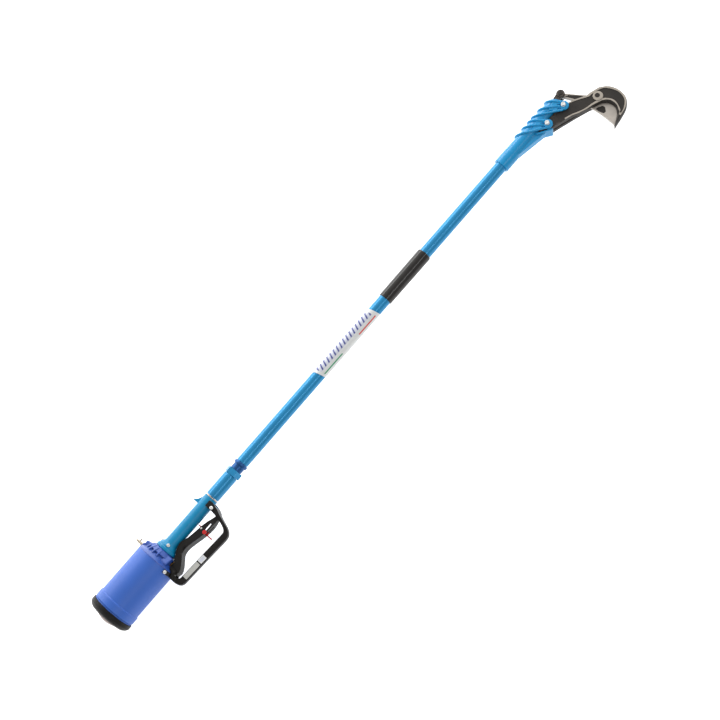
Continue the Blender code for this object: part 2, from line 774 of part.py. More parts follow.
def handle_body():
    flange_end = HANDLE_X + HANDLE_FLANGE_LENGTH
    cone_end = flange_end + HANDLE_CONE_LENGTH
    nose_r = ROD_CHANNEL_R + 0.0034 + GAP
    nose_end = CASTING_FRONT_X + 0.0190 + GAP
    outline = [
        (HANDLE_X, nose_r),
        (HANDLE_X, HANDLE_FLANGE_R - 0.0008),
        (HANDLE_X + 0.0008, HANDLE_FLANGE_R),
        (flange_end, HANDLE_FLANGE_R),
        (flange_end + 0.0012, HANDLE_FLANGE_R - 0.0018),
        (cone_end, HANDLE_R + 0.0012),
        (cone_end + 0.0030, HANDLE_R),
        (HANDLE_FRONT_X - 0.0006, HANDLE_R),
        (HANDLE_FRONT_X, HANDLE_R - 0.0006),
        (HANDLE_FRONT_X, ROD_CHANNEL_R),
        (nose_end, ROD_CHANNEL_R),
        (nose_end, nose_r),
    ]
    handle = turned("handle_body", outline, "cyan_paint", 32)
    back = HANDLE_FRONT_X - THUMB_REST_OFFSET
    tip = THUMB_REST_HEIGHT
    rest = [(back, HANDLE_R - 0.003), (back, tip - 0.0006), (back + 0.0008, tip)]
    rest += smooth(
        [
            (back + 0.0020, tip - 0.0030),
            (back + 0.0042, tip - 0.0078),
            (back + 0.0078, HANDLE_R + 0.0012),
            (back + THUMB_REST_LENGTH, HANDLE_R - 0.0004),
        ],
        3,
    )
    rest += [(back + THUMB_REST_LENGTH, HANDLE_R - 0.003)]
    join(handle, prism("thumb_rest", rest, -0.0026, 0.0026))
    lug_x = HANDLE_FRONT_X - LUG_OFFSET
    lug = box(
        "guard_lug",
        (lug_x, -LUG_DROP, -LUG_HALF_WIDTH),
        (lug_x + LUG_LENGTH, -HANDLE_R + 0.004, LUG_HALF_WIDTH),
        bevel=0.0015,
    )
    join(handle, lug)
    pocket = box(
        "catch_pocket",
        (CATCH_X + 0.0043, -HANDLE_R - 0.004, -CATCH_THICKNESS),
        (CATCH_X + CATCH_TRAVEL + 0.0042, -HANDLE_R + 0.0056, CATCH_THICKNESS),
    )
    screw_hole = rod("lug_hole", GUARD_SCREW_R + GAP, (FRONT_SCREW_X, FRONT_SCREW_Y, -0.02), 0.04, sides=12)
    holes = []
    screw_x = HANDLE_X + 0.0117
    for n in range(4):
        angle = radians(12.0 + 90.0 * n)
        screw_name = f"handle_screw_{n + 1}"
        radial_rod(screw_name, 0.0031, screw_x, angle, nose_r + 0.0004, HANDLE_FLANGE_R - 0.0022, "zinc", 16)
        holes.append(radial_rod("hole", 0.0031 + GAP, screw_x, angle, nose_r, HANDLE_FLANGE_R + 0.01, None, 16))
    cut(handle, pocket, screw_hole, cutters("handle_screw_holes", holes))


def coupling():
    ring("joint_washer", WASHER_X, WASHER_THICKNESS, SLEEVE_R - 0.0004, ROD_CHANNEL_R, "pale_bronze", 32)
    spigot_start = NECK_X - REAR_SPIGOT_LENGTH
    bore = SPIGOT_R + GAP
    outline = [
        (SLEEVE_X, ROD_CHANNEL_R),
        (SLEEVE_X, SLEEVE_R - 0.0006),
        (SLEEVE_X + 0.0006, SLEEVE_R),
        (SLEEVE_X + SLEEVE_LENGTH - 0.0010, SLEEVE_R),
        (SLEEVE_X + SLEEVE_LENGTH, SLEEVE_R - 0.0006),
        (SLEEVE_X + SLEEVE_LENGTH, bore),
        (spigot_start - GAP, bore),
        (spigot_start - GAP, ROD_CHANNEL_R),
    ]
    turned("coupling_sleeve", outline, "blue_anodised", 28)
    nut = prism("lock_nut", hexagon(NUT_FLATS, 3.0), NUT_X, NUT_X + NUT_LENGTH, "blue_anodised", "X")
    cut(nut, rod("nut_bore", bore, (NUT_X - 0.01, 0, 0), NUT_LENGTH + 0.02, "X", sides=32))
    crown = [(COLLAR_X + COLLAR_LENGTH * (1 - cos(a)) / 2, NECK_R + (COLLAR_R - NECK_R) * sin(a)) for a in [pi * n / 4 for n in range(5)]]
    pole_spigot_r = POLE_BORE_R - GAP
    outline = [
        (spigot_start, ROD_CHANNEL_R),
        (spigot_start, SPIGOT_R),
        (NECK_X, SPIGOT_R),
        (NECK_X, NECK_R),
        *crown,
        (COLLAR_X + COLLAR_LENGTH, pole_spigot_r),
        (COLLAR_X + COLLAR_LENGTH + POLE_SPIGOT_LENGTH, pole_spigot_r),
        (COLLAR_X + COLLAR_LENGTH + POLE_SPIGOT_LENGTH, ROD_CHANNEL_R),
    ]
    turned("pole_end_fitting", outline, "dark_blue_anodised", 28)


def pole():
    ring("pole_tube", POLE_X, POLE_LENGTH, POLE_R, POLE_BORE_R, "blue_anodised", 32)
    start = POLE_X + GRIP_START
    end = start + GRIP_LENGTH
    bore = POLE_R + GAP
    outline = [
        (start, bore),
        (start, GRIP_R - GRIP_ROUND / 2),
        (start + GRIP_ROUND / 2, GRIP_R),
        (end - GRIP_ROUND, GRIP_TOP_R),
        (end - GRIP_ROUND * 0.3, GRIP_TOP_R - GRIP_ROUND * 0.4),
        (end, GRIP_TOP_R - GRIP_ROUND),
        (end, bore),
    ]
    turned("grip_sleeve", outline, "black_gloss", 32)
    pole_label()


def pole_label():
    """A plain film round the pole's near side, its two ends slanted."""
    inner = POLE_R + GAP
    half_turn = radians(100.0)
    middle = radians(20.0)
    rings = 16
    bm = bmesh.new()
    rows = []
    for n in range(rings + 1):
        share = 2 * n / rings - 1
        point = radial(middle + half_turn * share, inner)
        start = POLE_X + LABEL_START + LABEL_SLANT * share
        rows.append([bm.verts.new((start + LABEL_LENGTH * along, point.y, point.z)) for along in (0, 1)])
    for first, second in zip(rows, rows[1:]):
        bm.faces.new((first[0], first[1], second[1], second[0]))
    label = from_bmesh("pole_label", bm, "white_film")
    film = label.modifiers.new("film", "SOLIDIFY")
    film.thickness = LABEL_THICKNESS
    film.offset = 1.0 if label.data.polygons[0].normal.dot(Vector((0, 0, 1))) > 0 else -1.0


# Cutting head


def rib_path(crest_x, end_x, end_y):
    """A rib's centreline from the far lobe, over the bracket's top, to the near lobe."""
    radius = RIB_CREST_R - RIB_R
    quarter = radius * pi / 2
    reach = quarter - end_y
    points = []
    count = 9
    for n in range(-count, count + 1):
        along = reach * abs(n) / count
        angle = min(along, quarter) / radius
        y = radius * cos(angle) - max(along - quarter, 0)
        z = radius * sin(angle)
        shift = (1 - cos(radians(125) * along / reach)) / (1 - cos(radians(125)))
        points.append((crest_x + (end_x - crest_x) * shift, y, z if n > 0 else -z))
    return points


def lobe_outline(bolt_x):
    centre = (bolt_x, -BOLT_DROP - 0.001)
    outline = [Vector((bolt_x - 0.0290, -0.0040)), Vector((bolt_x - 0.0090, 0.0010)), Vector((bolt_x + 0.0030, -0.0060))]
    return outline + arc(centre, LOBE_R, 18, -135, 10)


def head_bracket():
    lip_end = BRACKET_X + SOCKET_LIP_LENGTH
    lip_r = BRACKET_R + 0.0006
    far_end = BRACKET_FRONT_X + 0.012
    outline = [
        (BRACKET_X, 0),
        (BRACKET_X, lip_r - 0.0006),
        (BRACKET_X + 0.0008, lip_r),
        (lip_end, lip_r),
        (lip_end + 0.0015, BRACKET_R),
        (far_end, BRACKET_R + 0.0004),
        (far_end, 0),
    ]
    bracket = turned("head_bracket", outline, "cyan_paint", 32)
    gusset_end = BOLT_X[0] - 0.0180
    gusset = prism(
        "gusset",
        [
            (lip_end - 0.004, -0.0060),
            (lip_end + 0.0015, -0.0140),
            (gusset_end, -0.0252),
            (gusset_end + 0.0040, -0.0252),
            (gusset_end + 0.0040, -0.0060),
        ],
        -GUSSET_HALF_WIDTH,
        GUSSET_HALF_WIDTH,
    )
    join(bracket, gusset)
    for bolt_x in BOLT_X:
        for side in (-1, 1):
            low, high = sorted((side * (LOBE_INNER - 0.0010), side * LOBE_OUTER))
            join(bracket, prism("lobe", lobe_outline(bolt_x), low, high))
    crests = (-0.0520, -0.0310, -0.0140, -0.0505, -0.0315, -0.0125)
    ends = (-0.0070, -0.0045, 0.0010, -0.0080, -0.0045, 0.0030)
    drops = (-0.0140, -0.0105, -0.0070, -0.0140, -0.0110, -0.0080)
    for n, (crest, end, drop) in enumerate(zip(crests, ends, drops)):
        bolt_x = BOLT_X[n // 3]
        join(bracket, tube("rib", rib_path(bolt_x + crest, bolt_x + end, drop), RIB_R))
    socket = rod("socket_bore", POLE_R + GAP, (BRACKET_X - 0.01, 0, 0), SOCKET_DEPTH + 0.01 + GAP, "X", sides=32)
    channel = rod("link_channel", BRACKET_BORE_R, (BRACKET_X, 0, 0), BRACKET_LENGTH + 0.06, "X", sides=32)
    mouth = rod("link_mouth", BRACKET_MOUTH_R, (BRACKET_FRONT_X - BRACKET_MOUTH_LENGTH, 0, 0), BRACKET_LENGTH, "X", sides=32)
    reach = 0.040
    slope = 0.5
    end = prism(
        "slanted_end",
        [
            (BRACKET_FRONT_X - slope * reach, reach),
            (BRACKET_FRONT_X + slope * reach, -reach),
            (BRACKET_FRONT_X + 3 * reach, -reach),
            (BRACKET_FRONT_X + 3 * reach, reach),
        ],
        -reach,
        reach,
    )
    first = TANG[0]
    slot = prism(
        "plate_slot",
        [
            (first.x - 0.0030, TANG_TOP_Y + GAP),
            (BRACKET_FRONT_X + reach, TANG_TOP_Y + GAP),
            (BRACKET_FRONT_X + reach, -PIVOT_DROP),
            (first.x + 0.0400, -PIVOT_DROP),
            (first.x - 0.0030, first.y - 0.0020),
        ],
        -LOBE_INNER,
        LOBE_INNER,
    )
    holes = [rod("hole", BOLT_R + GAP, (x, -BOLT_DROP, -0.03), 0.06, sides=16) for x in BOLT_X]
    cut(bracket, end, socket, channel, mouth, slot, cutters("lobe_holes", holes))


def from_pivot(*points):
    """Points about the pivot, given from it for a hook that reaches 0.0352."""
    return [PIVOT + Vector(p) * HOOK_REACH / 0.0352 for p in points]


def from_bolt(number, *points):
    """Points given from one of the bracket's bolts."""
    return [Vector((BOLT_X[number], -BOLT_DROP)) + Vector(p) for p in points]


# The plates' rear end with its lower edge, and their upper edge
TANG = from_bolt(0, (-TANG_REACH, 0.0030), (-0.0014, -0.0113)) + from_bolt(1, (0.0035, -0.0307))
TANG += from_pivot((-0.0265, -0.0010))
PLATE_TOP = from_bolt(1, (0.0095, -0.0035), (-0.0195, 0.0049)) + from_bolt(0, (0.0025 - TANG_REACH, 0.0049))
TANG_TOP_Y = PLATE_TOP[1].y


def bolt_holes(name, radius):
    holes = [rod("hole", radius, (x, -BOLT_DROP, -2 * LOBE_OUTER), 4 * LOBE_OUTER, sides=16) for x in BOLT_X]
    return cutters(name, holes)


def pivot_hole(name, radius):
    return rod(name, radius, (PIVOT.x, PIVOT.y, -2 * LOBE_OUTER), 4 * LOBE_OUTER, sides=24)


def hook_plate():
    inner = smooth(
        from_pivot(
            (-0.0145, -0.0053),
            (-0.0106, -0.0096),
            (0.0008, -0.0182),
            (0.0072, -0.0332),
            (0.0091, -0.0418),
            (0.0070, -0.0490),
            (0.0021, -0.0545),
            (-0.0069, -0.0588),
            (-0.0314, -0.0693),
        ),
        2,
    )
    outer = smooth(
        from_pivot(
            (-0.0359, -0.0714),
            (-0.0083, -0.0683),
            (0.0135, -0.0631),
            (0.0273, -0.0546),
            (0.0347, -0.0397),
            (0.0352, -0.0290),
            (0.0277, -0.0075),
            (0.0152, 0.0087),
            (-0.0008, 0.0152),
            (-0.0155, 0.0163),
        ),
        3,
    )
    outline = TANG + inner + outer + PLATE_TOP
    plate = prism("hook_plate", outline, PLATE_INNER, PLATE_OUTER, "dark_forging")
    join(plate, rod("pivot_boss", PIVOT_BOSS_R, (PIVOT.x, PIVOT.y, PLATE_INNER + 0.001), PLATE_THICKNESS - 0.001 + PIVOT_BOSS_RISE, sides=24))
    cut(plate, pivot_hole("hook_pivot_hole", PIVOT_R + GAP), bolt_holes("hook_bolt_holes", BOLT_R + GAP))


def cheek_plate():
    boss = arc(PIVOT, CHEEK_BOSS_R, -140, 95, 14)
    outline = TANG + boss + from_pivot((-0.0155, 0.0166)) + PLATE_TOP
    plate = prism("cheek_plate", outline, -PLATE_OUTER, -PLATE_INNER, "dark_forging")
    cut(plate, pivot_hole("cheek_pivot_hole", PIVOT_R + GAP), bolt_holes("cheek_bolt_holes", BOLT_R + GAP))


def plate_spacer():
    """The packing between the two plates, at the bolts."""
    edge = 0.0010
    lower = from_bolt(0, (edge - TANG_REACH, 0.0035), (-0.0008, -0.0098)) + from_bolt(1, (0.0020, -0.0287))
    upper = from_bolt(1, (0.0080, -0.0055), (-0.0195, 0.0035)) + from_bolt(0, (0.0035 - TANG_REACH, 0.0039))
    spacer = prism("plate_spacer", lower + upper, -BLADE_FACE, BLADE_FACE, "dark_forging")
    cut(spacer, bolt_holes("spacer_bolt_holes", BOLT_R + GAP))


def bracket_fasteners():
    tip = LOBE_OUTER + 0.0065
    head_low = LOBE_OUTER + GAP
    for n, x in enumerate(BOLT_X):
        bolt = rod(f"bracket_bolt_{n + 1}", BOLT_R, (x, -BOLT_DROP, -tip), tip + head_low + 0.002, "Z", "zinc", 16)
        corners = [(x + a, -BOLT_DROP + b) for a, b in hexagon(BOLT_HEAD_FLATS, 12)]
        join(bolt, prism("bolt_head", corners, head_low, head_low + BOLT_HEAD_LENGTH))
        corners = [(x + a, -BOLT_DROP + b) for a, b in hexagon(BOLT_HEAD_FLATS, 25)]
        nut = prism(f"bracket_nut_{n + 1}", corners, -head_low - 0.0045, -head_low, "zinc")
        cut(nut, rod("nut_hole", BOLT_R + GAP, (x, -BOLT_DROP, -0.04), 0.04, sides=16))


def pivot_fasteners():
    head_top = PLATE_OUTER + PIVOT_BOSS_RISE + 0.0006
    washer_low = -PLATE_OUTER - GAP - 0.0012
    nut_low = washer_low - GAP - 0.0055
    pin = rod("pivot_pin", PIVOT_R, (PIVOT.x, PIVOT.y, nut_low - 0.0012), head_top - nut_low + 0.0012, "Z", "dark_forging", 24)
    nut = prism("pivot_nut", [(PIVOT.x + a, PIVOT.y + b) for a, b in hexagon(0.0130, 20)], nut_low, washer_low - GAP, "zinc")
    cut(nut, pivot_hole("pivot_nut_hole", PIVOT_R + GAP))
    washer = rod("pivot_washer", 0.0085, (PIVOT.x, PIVOT.y, washer_low), 0.0012, "Z", "zinc", 24)
    cut(washer, pivot_hole("pivot_washer_hole", PIVOT_R + GAP))


def along_arm(*points):
    """Points along the blade's tail arm: the share of its length, and how far to the rear side."""
    along = TAIL_PIN - PIVOT
    across = Vector((-along.y, along.x)).normalized()
    return [PIVOT + along * share + across * aside for share, aside in points]


def blade_group():
    axis = pivot_at("blade_axis", PIVOT.x, PIVOT.y)
    cutting = smooth(
        from_pivot(
            (0.0085, -0.0145),
            (0.0108, -0.0225),
            (0.0128, -0.0330),
            (0.0132, -0.0425),
            (0.0080, -0.0545),
            (-0.0035, -0.0622),
            (-0.0160, -0.0652),
            (-0.0297, -0.0663),
        ),
        2,
    )
    back = smooth(
        from_pivot(
            (-0.0267, -0.0617),
            (-0.0243, -0.0360),
            (-0.0241, -0.0125),
            (-0.0262, 0.0040),
        )
        + along_arm((0.431, 0.0160), (0.715, 0.0089), (0.942, 0.0063)),
        2,
    )
    head = arc(TAIL_PIN, TAIL_R, 190, -25, 12)
    side = along_arm((0.594, -0.0038), (0.273, -0.0040))
    boss = arc(PIVOT, BLADE_BOSS_R, 60, -55, 8)
    outline = back + head + side + boss + cutting
    blade = prism("blade", outline, -BLADE_FACE, BLADE_FACE, "ground_blade")
    tail_hole = rod("tail_hole", LINK_PIN_R + GAP, (TAIL_PIN.x, TAIL_PIN.y, -0.02), 0.04, sides=16)
    cut(blade, pivot_hole("blade_bore", BUSH_R + GAP), tail_hole)
    bush = rod("blade_bush", BUSH_R, (PIVOT.x, PIVOT.y, -BLADE_FACE), BLADE_THICKNESS, "Z", "brass", 24)
    cut(bush, pivot_hole("bush_bore", PIVOT_R + GAP))
    carry(axis, blade, bush)


def link_group():
    axis = pivot_at("link_axis", TAIL_PIN.x, TAIL_PIN.y)
    along = (ROD_EYE - TAIL_PIN).normalized()
    across = Vector((-along.y, along.x))
    lean = degrees_of(along)
    neck = 0.0210
    taper = 0.0300
    outline = arc(TAIL_PIN, LINK_HEAD_R, lean - 118, lean - 242, 14)
    outline = [TAIL_PIN + along * neck + across * LINK_NECK_HALF] + outline[::-1]
    outline += [TAIL_PIN + along * neck - across * LINK_NECK_HALF]
    neck_end = strip(TAIL_PIN, TAIL_PIN + along * taper, LINK_BAR_HALF)[1:3]
    neck_part = prism("link_neck", outline + neck_end[::-1], -LINK_NECK_HALF_WIDTH, LINK_NECK_HALF_WIDTH)
    bar = [TAIL_PIN + along * neck + across * LINK_BAR_HALF, TAIL_PIN + along * neck - across * LINK_BAR_HALF]
    bar += arc(ROD_EYE, LINK_BAR_HALF, lean - 90, lean + 90, 8)
    link = prism("drive_link", bar, -LINK_HALF_WIDTH, LINK_HALF_WIDTH, "black_plastic")
    join(link, neck_part)
    head = rod("link_head", LINK_HEAD_R - 0.0002, (TAIL_PIN.x, TAIL_PIN.y, -LINK_HEAD_HALF_WIDTH), 2 * LINK_HEAD_HALF_WIDTH, sides=24)
    join(link, head)
    fork = BLADE_FACE + PLAY
    front_slot = prism("front_slot", strip(TAIL_PIN + along * 0.0125, TAIL_PIN - along * 0.02, 0.02), -fork, fork)
    rear_slot = prism("rear_slot", strip(ROD_EYE - along * 0.0145, ROD_EYE + along * 0.02, 0.02), -fork, fork)
    front_hole = rod("front_pin_hole", LINK_PIN_R + GAP, (TAIL_PIN.x, TAIL_PIN.y, -0.02), 0.04, sides=16)
    rear_hole = rod("rear_pin_hole", ROD_PIN_R + GAP, (ROD_EYE.x, ROD_EYE.y, -0.02), 0.04, sides=16)
    cut(link, front_slot, rear_slot, front_hole, rear_hole)
    face = LINK_HEAD_HALF_WIDTH
    front_pin = rod("link_front_pin", LINK_PIN_R, (TAIL_PIN.x, TAIL_PIN.y, -face - 0.0008), 2 * face + 0.0018, "Z", "dark_forging", 16)
    pin_head = rod("pin_head", LINK_PIN_R + 0.0021, (TAIL_PIN.x, TAIL_PIN.y, face + GAP), 0.0014, sides=20)
    join(front_pin, pin_head)
    rear_pin = rod("link_rear_pin", ROD_PIN_R, (ROD_EYE.x, ROD_EYE.y, -LINK_HALF_WIDTH), 2 * LINK_HALF_WIDTH, "Z", "steel", 16)
    carry(axis, link, front_pin, rear_pin)


def degrees_of(direction):
    return atan2(direction.y, direction.x) * 180 / pi


def strip(first, last, half):
    """The corners of a straight strip between two points."""
    along = (last - first).normalized()
    across = Vector((-along.y, along.x)) * half
    return [first + across, last + across, last - across, first - across]


# Trigger, guard and catch

TRIGGER_PIN = Vector((CASTING_X + 0.0062, -0.0450))
LEVER_TOP_Y = -VALVE_HOUSING_DROP - 0.0049
POST_X = HANDLE_FRONT_X - 0.0114
FRONT_SCREW_X = HANDLE_FRONT_X - 0.0136
FRONT_SCREW_Y = -HANDLE_R - 0.0052
CATCH_X = HANDLE_FRONT_X - 0.0568
CATCH_TRAVEL = 0.0140
CATCH_Y = -HANDLE_R - 0.0234


def loft(name, sections, finish):
    """A solid through sections that have as many points each."""
    bm = bmesh.new()
    rows = [[bm.verts.new(point) for point in section] for section in sections]
    count = len(rows[0])
    for first, second in zip(rows, rows[1:]):
        for n in range(count):
            after = (n + 1) % count
            bm.faces.new((first[n], first[after], second[after], second[n]))
    bm.faces.new(rows[0][::-1])
    bm.faces.new(rows[-1])
    return from_bmesh(name, bm, finish)


def guard_stations():
    """x, y, half thickness and half width along the guard, from the saddle to the handle."""
    rear = SADDLE_X + SADDLE_LENGTH / 2 + 0.0001
    top = -SADDLE_INNER_R
    bar = -GUARD_DEPTH
    thick = GUARD_BAR_HALF
    wide = GUARD_HALF_WIDTH
    wall = GUARD_PAD_HALF_WIDTH
    under = -HANDLE_R
    span = POST_X - rear
    return [
        (rear, top - 0.0009, 0.0041, 0.0135),
        (rear, top - 0.0080, 0.0044, 0.0125),
        (rear + 0.0004, top - 0.0140, 0.0052, wide + 0.0030),
        (rear + 0.0026, bar + 0.0055, thick - 0.0004, wide + 0.0015),
        (rear + 0.0078, bar + 0.0023, thick + 0.0002, wide),
        (rear + 0.0178, bar + 0.0016, thick, wide),
        (rear + 0.352 * span, bar + 0.0001, thick, wide),
        (rear + 0.619 * span, bar - 0.0017, thick, wide),
        (POST_X - 0.0287, bar - 0.0030, thick, wide + 0.0003),
        (POST_X - 0.0197, bar - 0.0004, thick - 0.0014, wide + 0.0004),
        (POST_X - 0.0144, bar + 0.0056, thick - 0.0026, wide + 0.0012),
        (POST_X - 0.0108, bar + 0.0142, thick - 0.0032, wide + 0.0028),
        (POST_X - 0.0077, under - 0.0314, 0.0033, POST_HALF_WIDTH),
        (POST_X - 0.0048, under - 0.0214, 0.0040, POST_HALF_WIDTH + 0.0022),
        (POST_X - 0.0016, under - 0.0114, 0.0055, wall - 0.0005),
        (POST_X, under + 0.0006, 0.0068, wall),
        (POST_X, under + 0.0080, 0.0066, wall),
    ]


def guard_section(at, direction):
    """A rectangle with cut corners, square to the guard's run."""
    x, y, thick, wide = at
    side = Vector((-direction.y, direction.x, 0)).normalized()
    cut_by = GUARD_SECTION_CHAMFER
    corners = [
        (thick, wide - cut_by),
        (thick - cut_by, wide),
        (cut_by - thick, wide),
        (-thick, wide - cut_by),
        (-thick, cut_by - wide),
        (cut_by - thick, -wide),
        (thick - cut_by, -wide),
        (thick, cut_by - wide),
    ]
    return [Vector((x, y, 0)) + side * a + Vector((0, 0, b)) for a, b in corners]


def trigger_guard():
    run = smooth(guard_stations(), 2)
    sections = []
    for n, at in enumerate(run):
        before = run[max(n - 1, 0)]
        after = run[min(n + 1, len(run) - 1)]
        sections.append(guard_section(at, after - before))
    guard = loft("trigger_guard", sections, "black_plastic")
    turn = SADDLE_HALF_ANGLE * 180 / pi
    sector = arc((0, 0), SADDLE_OUTER_R, 180 - turn, 180 + turn, 14)
    sector += arc((0, 0), SADDLE_INNER_R, 180 + turn, 180 - turn, 14)
    join(guard, prism("saddle", sector, SADDLE_X, SADDLE_X + SADDLE_LENGTH, axis="X"))
    x, y = TRIGGER_PIN
    rear = SADDLE_X + SADDLE_LENGTH - 0.0040
    cheek = [
        (rear, -SADDLE_OUTER_R + 0.0012),
        (rear, -SADDLE_OUTER_R - 0.0060),
        (x - 0.0015, y - 0.0065),
        (x + 0.0035, y - 0.0050),
        (x + 0.0053, y - 0.0010),
        (x + 0.0053, LEVER_TOP_Y - 0.0020),
        (x + 0.0040, LEVER_TOP_Y - 0.0010),
        (x + 0.0018, LEVER_TOP_Y - 0.0010),
        (x - 0.0046, y + 0.0020),
        (x - 0.0050, -SADDLE_OUTER_R + 0.0012),
    ]
    inner = LEVER_HALF_WIDTH + PLAY
    for low, high in ((inner, inner + GUARD_WALL), (-inner - GUARD_WALL, -inner)):
        join(guard, prism("pin_cheek", cheek, low, high))
    tip = LEVER_TIP_HALF_WIDTH + PLAY
    lever_room = box(
        "lever_room",
        (POST_X - 0.03, -HANDLE_R - 0.0320, -tip),
        (POST_X - 0.0052, -HANDLE_R + 0.0050, tip),
    )
    lug_room = box(
        "lug_room",
        (POST_X - 0.03, -LUG_DROP - GAP, -LUG_HALF_WIDTH - GAP),
        (POST_X + 0.03, -HANDLE_R + 0.0050, LUG_HALF_WIDTH + GAP),
    )
    tube_room = rod("tube_room", HANDLE_R + GAP, (POST_X - 0.03, 0, 0), 0.06, "X", sides=40)
    pin_hole = rod("guard_pin_hole", LEVER_PIN_R + GAP, (x, y, -0.03), 0.06)
    screw_hole = rod("guard_front_hole", GUARD_SCREW_R + GAP, (FRONT_SCREW_X, FRONT_SCREW_Y, -0.03), 0.06, sides=12)
    cut(guard, lever_room, lug_room, tube_room, pin_hole, screw_hole, guard_screw_holes("saddle_screw_holes"))
    guard_fasteners()
    guard_labels(run)


def guard_fasteners():
    wall = GUARD_PAD_HALF_WIDTH
    front = rod("guard_front_screw", GUARD_SCREW_R, (FRONT_SCREW_X, FRONT_SCREW_Y, -wall + 0.002), 2 * wall - 0.001, "Z", "zinc", 12)
    head = rod("front_head", GUARD_SCREW_HEAD_R, (FRONT_SCREW_X, FRONT_SCREW_Y, wall + GAP), 0.0022, sides=20)
    join(front, head)
    head_low = SADDLE_OUTER_R + GAP
    for n, angle in enumerate(guard_screw_points()):
        screw = radial_rod(f"guard_rear_screw_{n + 1}", GUARD_SCREW_R, SADDLE_SCREW_X, angle, SCREW_TIP_R, head_low + 0.001, "zinc")
        join(screw, radial_rod("rear_head", GUARD_SCREW_HEAD_R, SADDLE_SCREW_X, angle, head_low, head_low + 0.0021, sides=20))
    pin_reach = LEVER_HALF_WIDTH + PLAY + GUARD_WALL - 0.0005
    rod("trigger_pin", LEVER_PIN_R, (*TRIGGER_PIN, -pin_reach), 2 * pin_reach, "Z", "dark_forging", 16)


def guard_labels(run):
    """Two plain films on the bar's near face."""
    face = GUARD_HALF_WIDTH + GAP
    half = GUARD_BAR_HALF - GUARD_SECTION_CHAMFER
    for name, start, length, finish in (
        ("guard_label_long", 0.0150, 0.0380, "grey_film"),
        ("guard_label_short", 0.0555, 0.0152, "white_film"),
    ):
        ends = [run[0].x + start, run[0].x + start + length]
        middles = [height_at(run, x) for x in ends]
        outline = [
            (ends[0], middles[0] - half),
            (ends[1], middles[1] - half),
            (ends[1], middles[1] + half),
            (ends[0], middles[0] + half),
        ]
        prism(name, outline, face, face + LABEL_THICKNESS, finish)


def height_at(run, x):
    """The guard's y at a place along its bar."""
    for first, second in zip(run, run[1:]):
        if first.x <= x <= second.x:
            share = (x - first.x) / (second.x - first.x)
            return first.y + (second.y - first.y) * share
    return run[-1].y


def lever_stations():
    """x, bottom and top along the trigger lever, in front of its rear block."""
    pin = TRIGGER_PIN.x
    under = -HANDLE_R
    end = POST_X - 0.0072
    return [
        (pin + 0.0195, under - 0.0330, under - 0.0140),
        (pin + 0.0285, under - 0.0256, under - 0.0094),
        (pin + 0.0370, under - 0.0194, under - 0.0044),
        (pin + 0.0495, under - 0.0178, under - 0.0014),
        (pin + 0.0650, under - 0.0206, under - 0.0059),
        (CATCH_X - 0.0113, under - 0.0251, under - 0.0094),
        (CATCH_X + 0.0047, under - 0.0279, under - 0.0116),
        (CATCH_X + 0.0207, under - 0.0287, under - 0.0154),
        (end - 0.0035, under - 0.0275, under - 0.0184),
        (end, under - 0.0270, under - 0.0190),
    ]


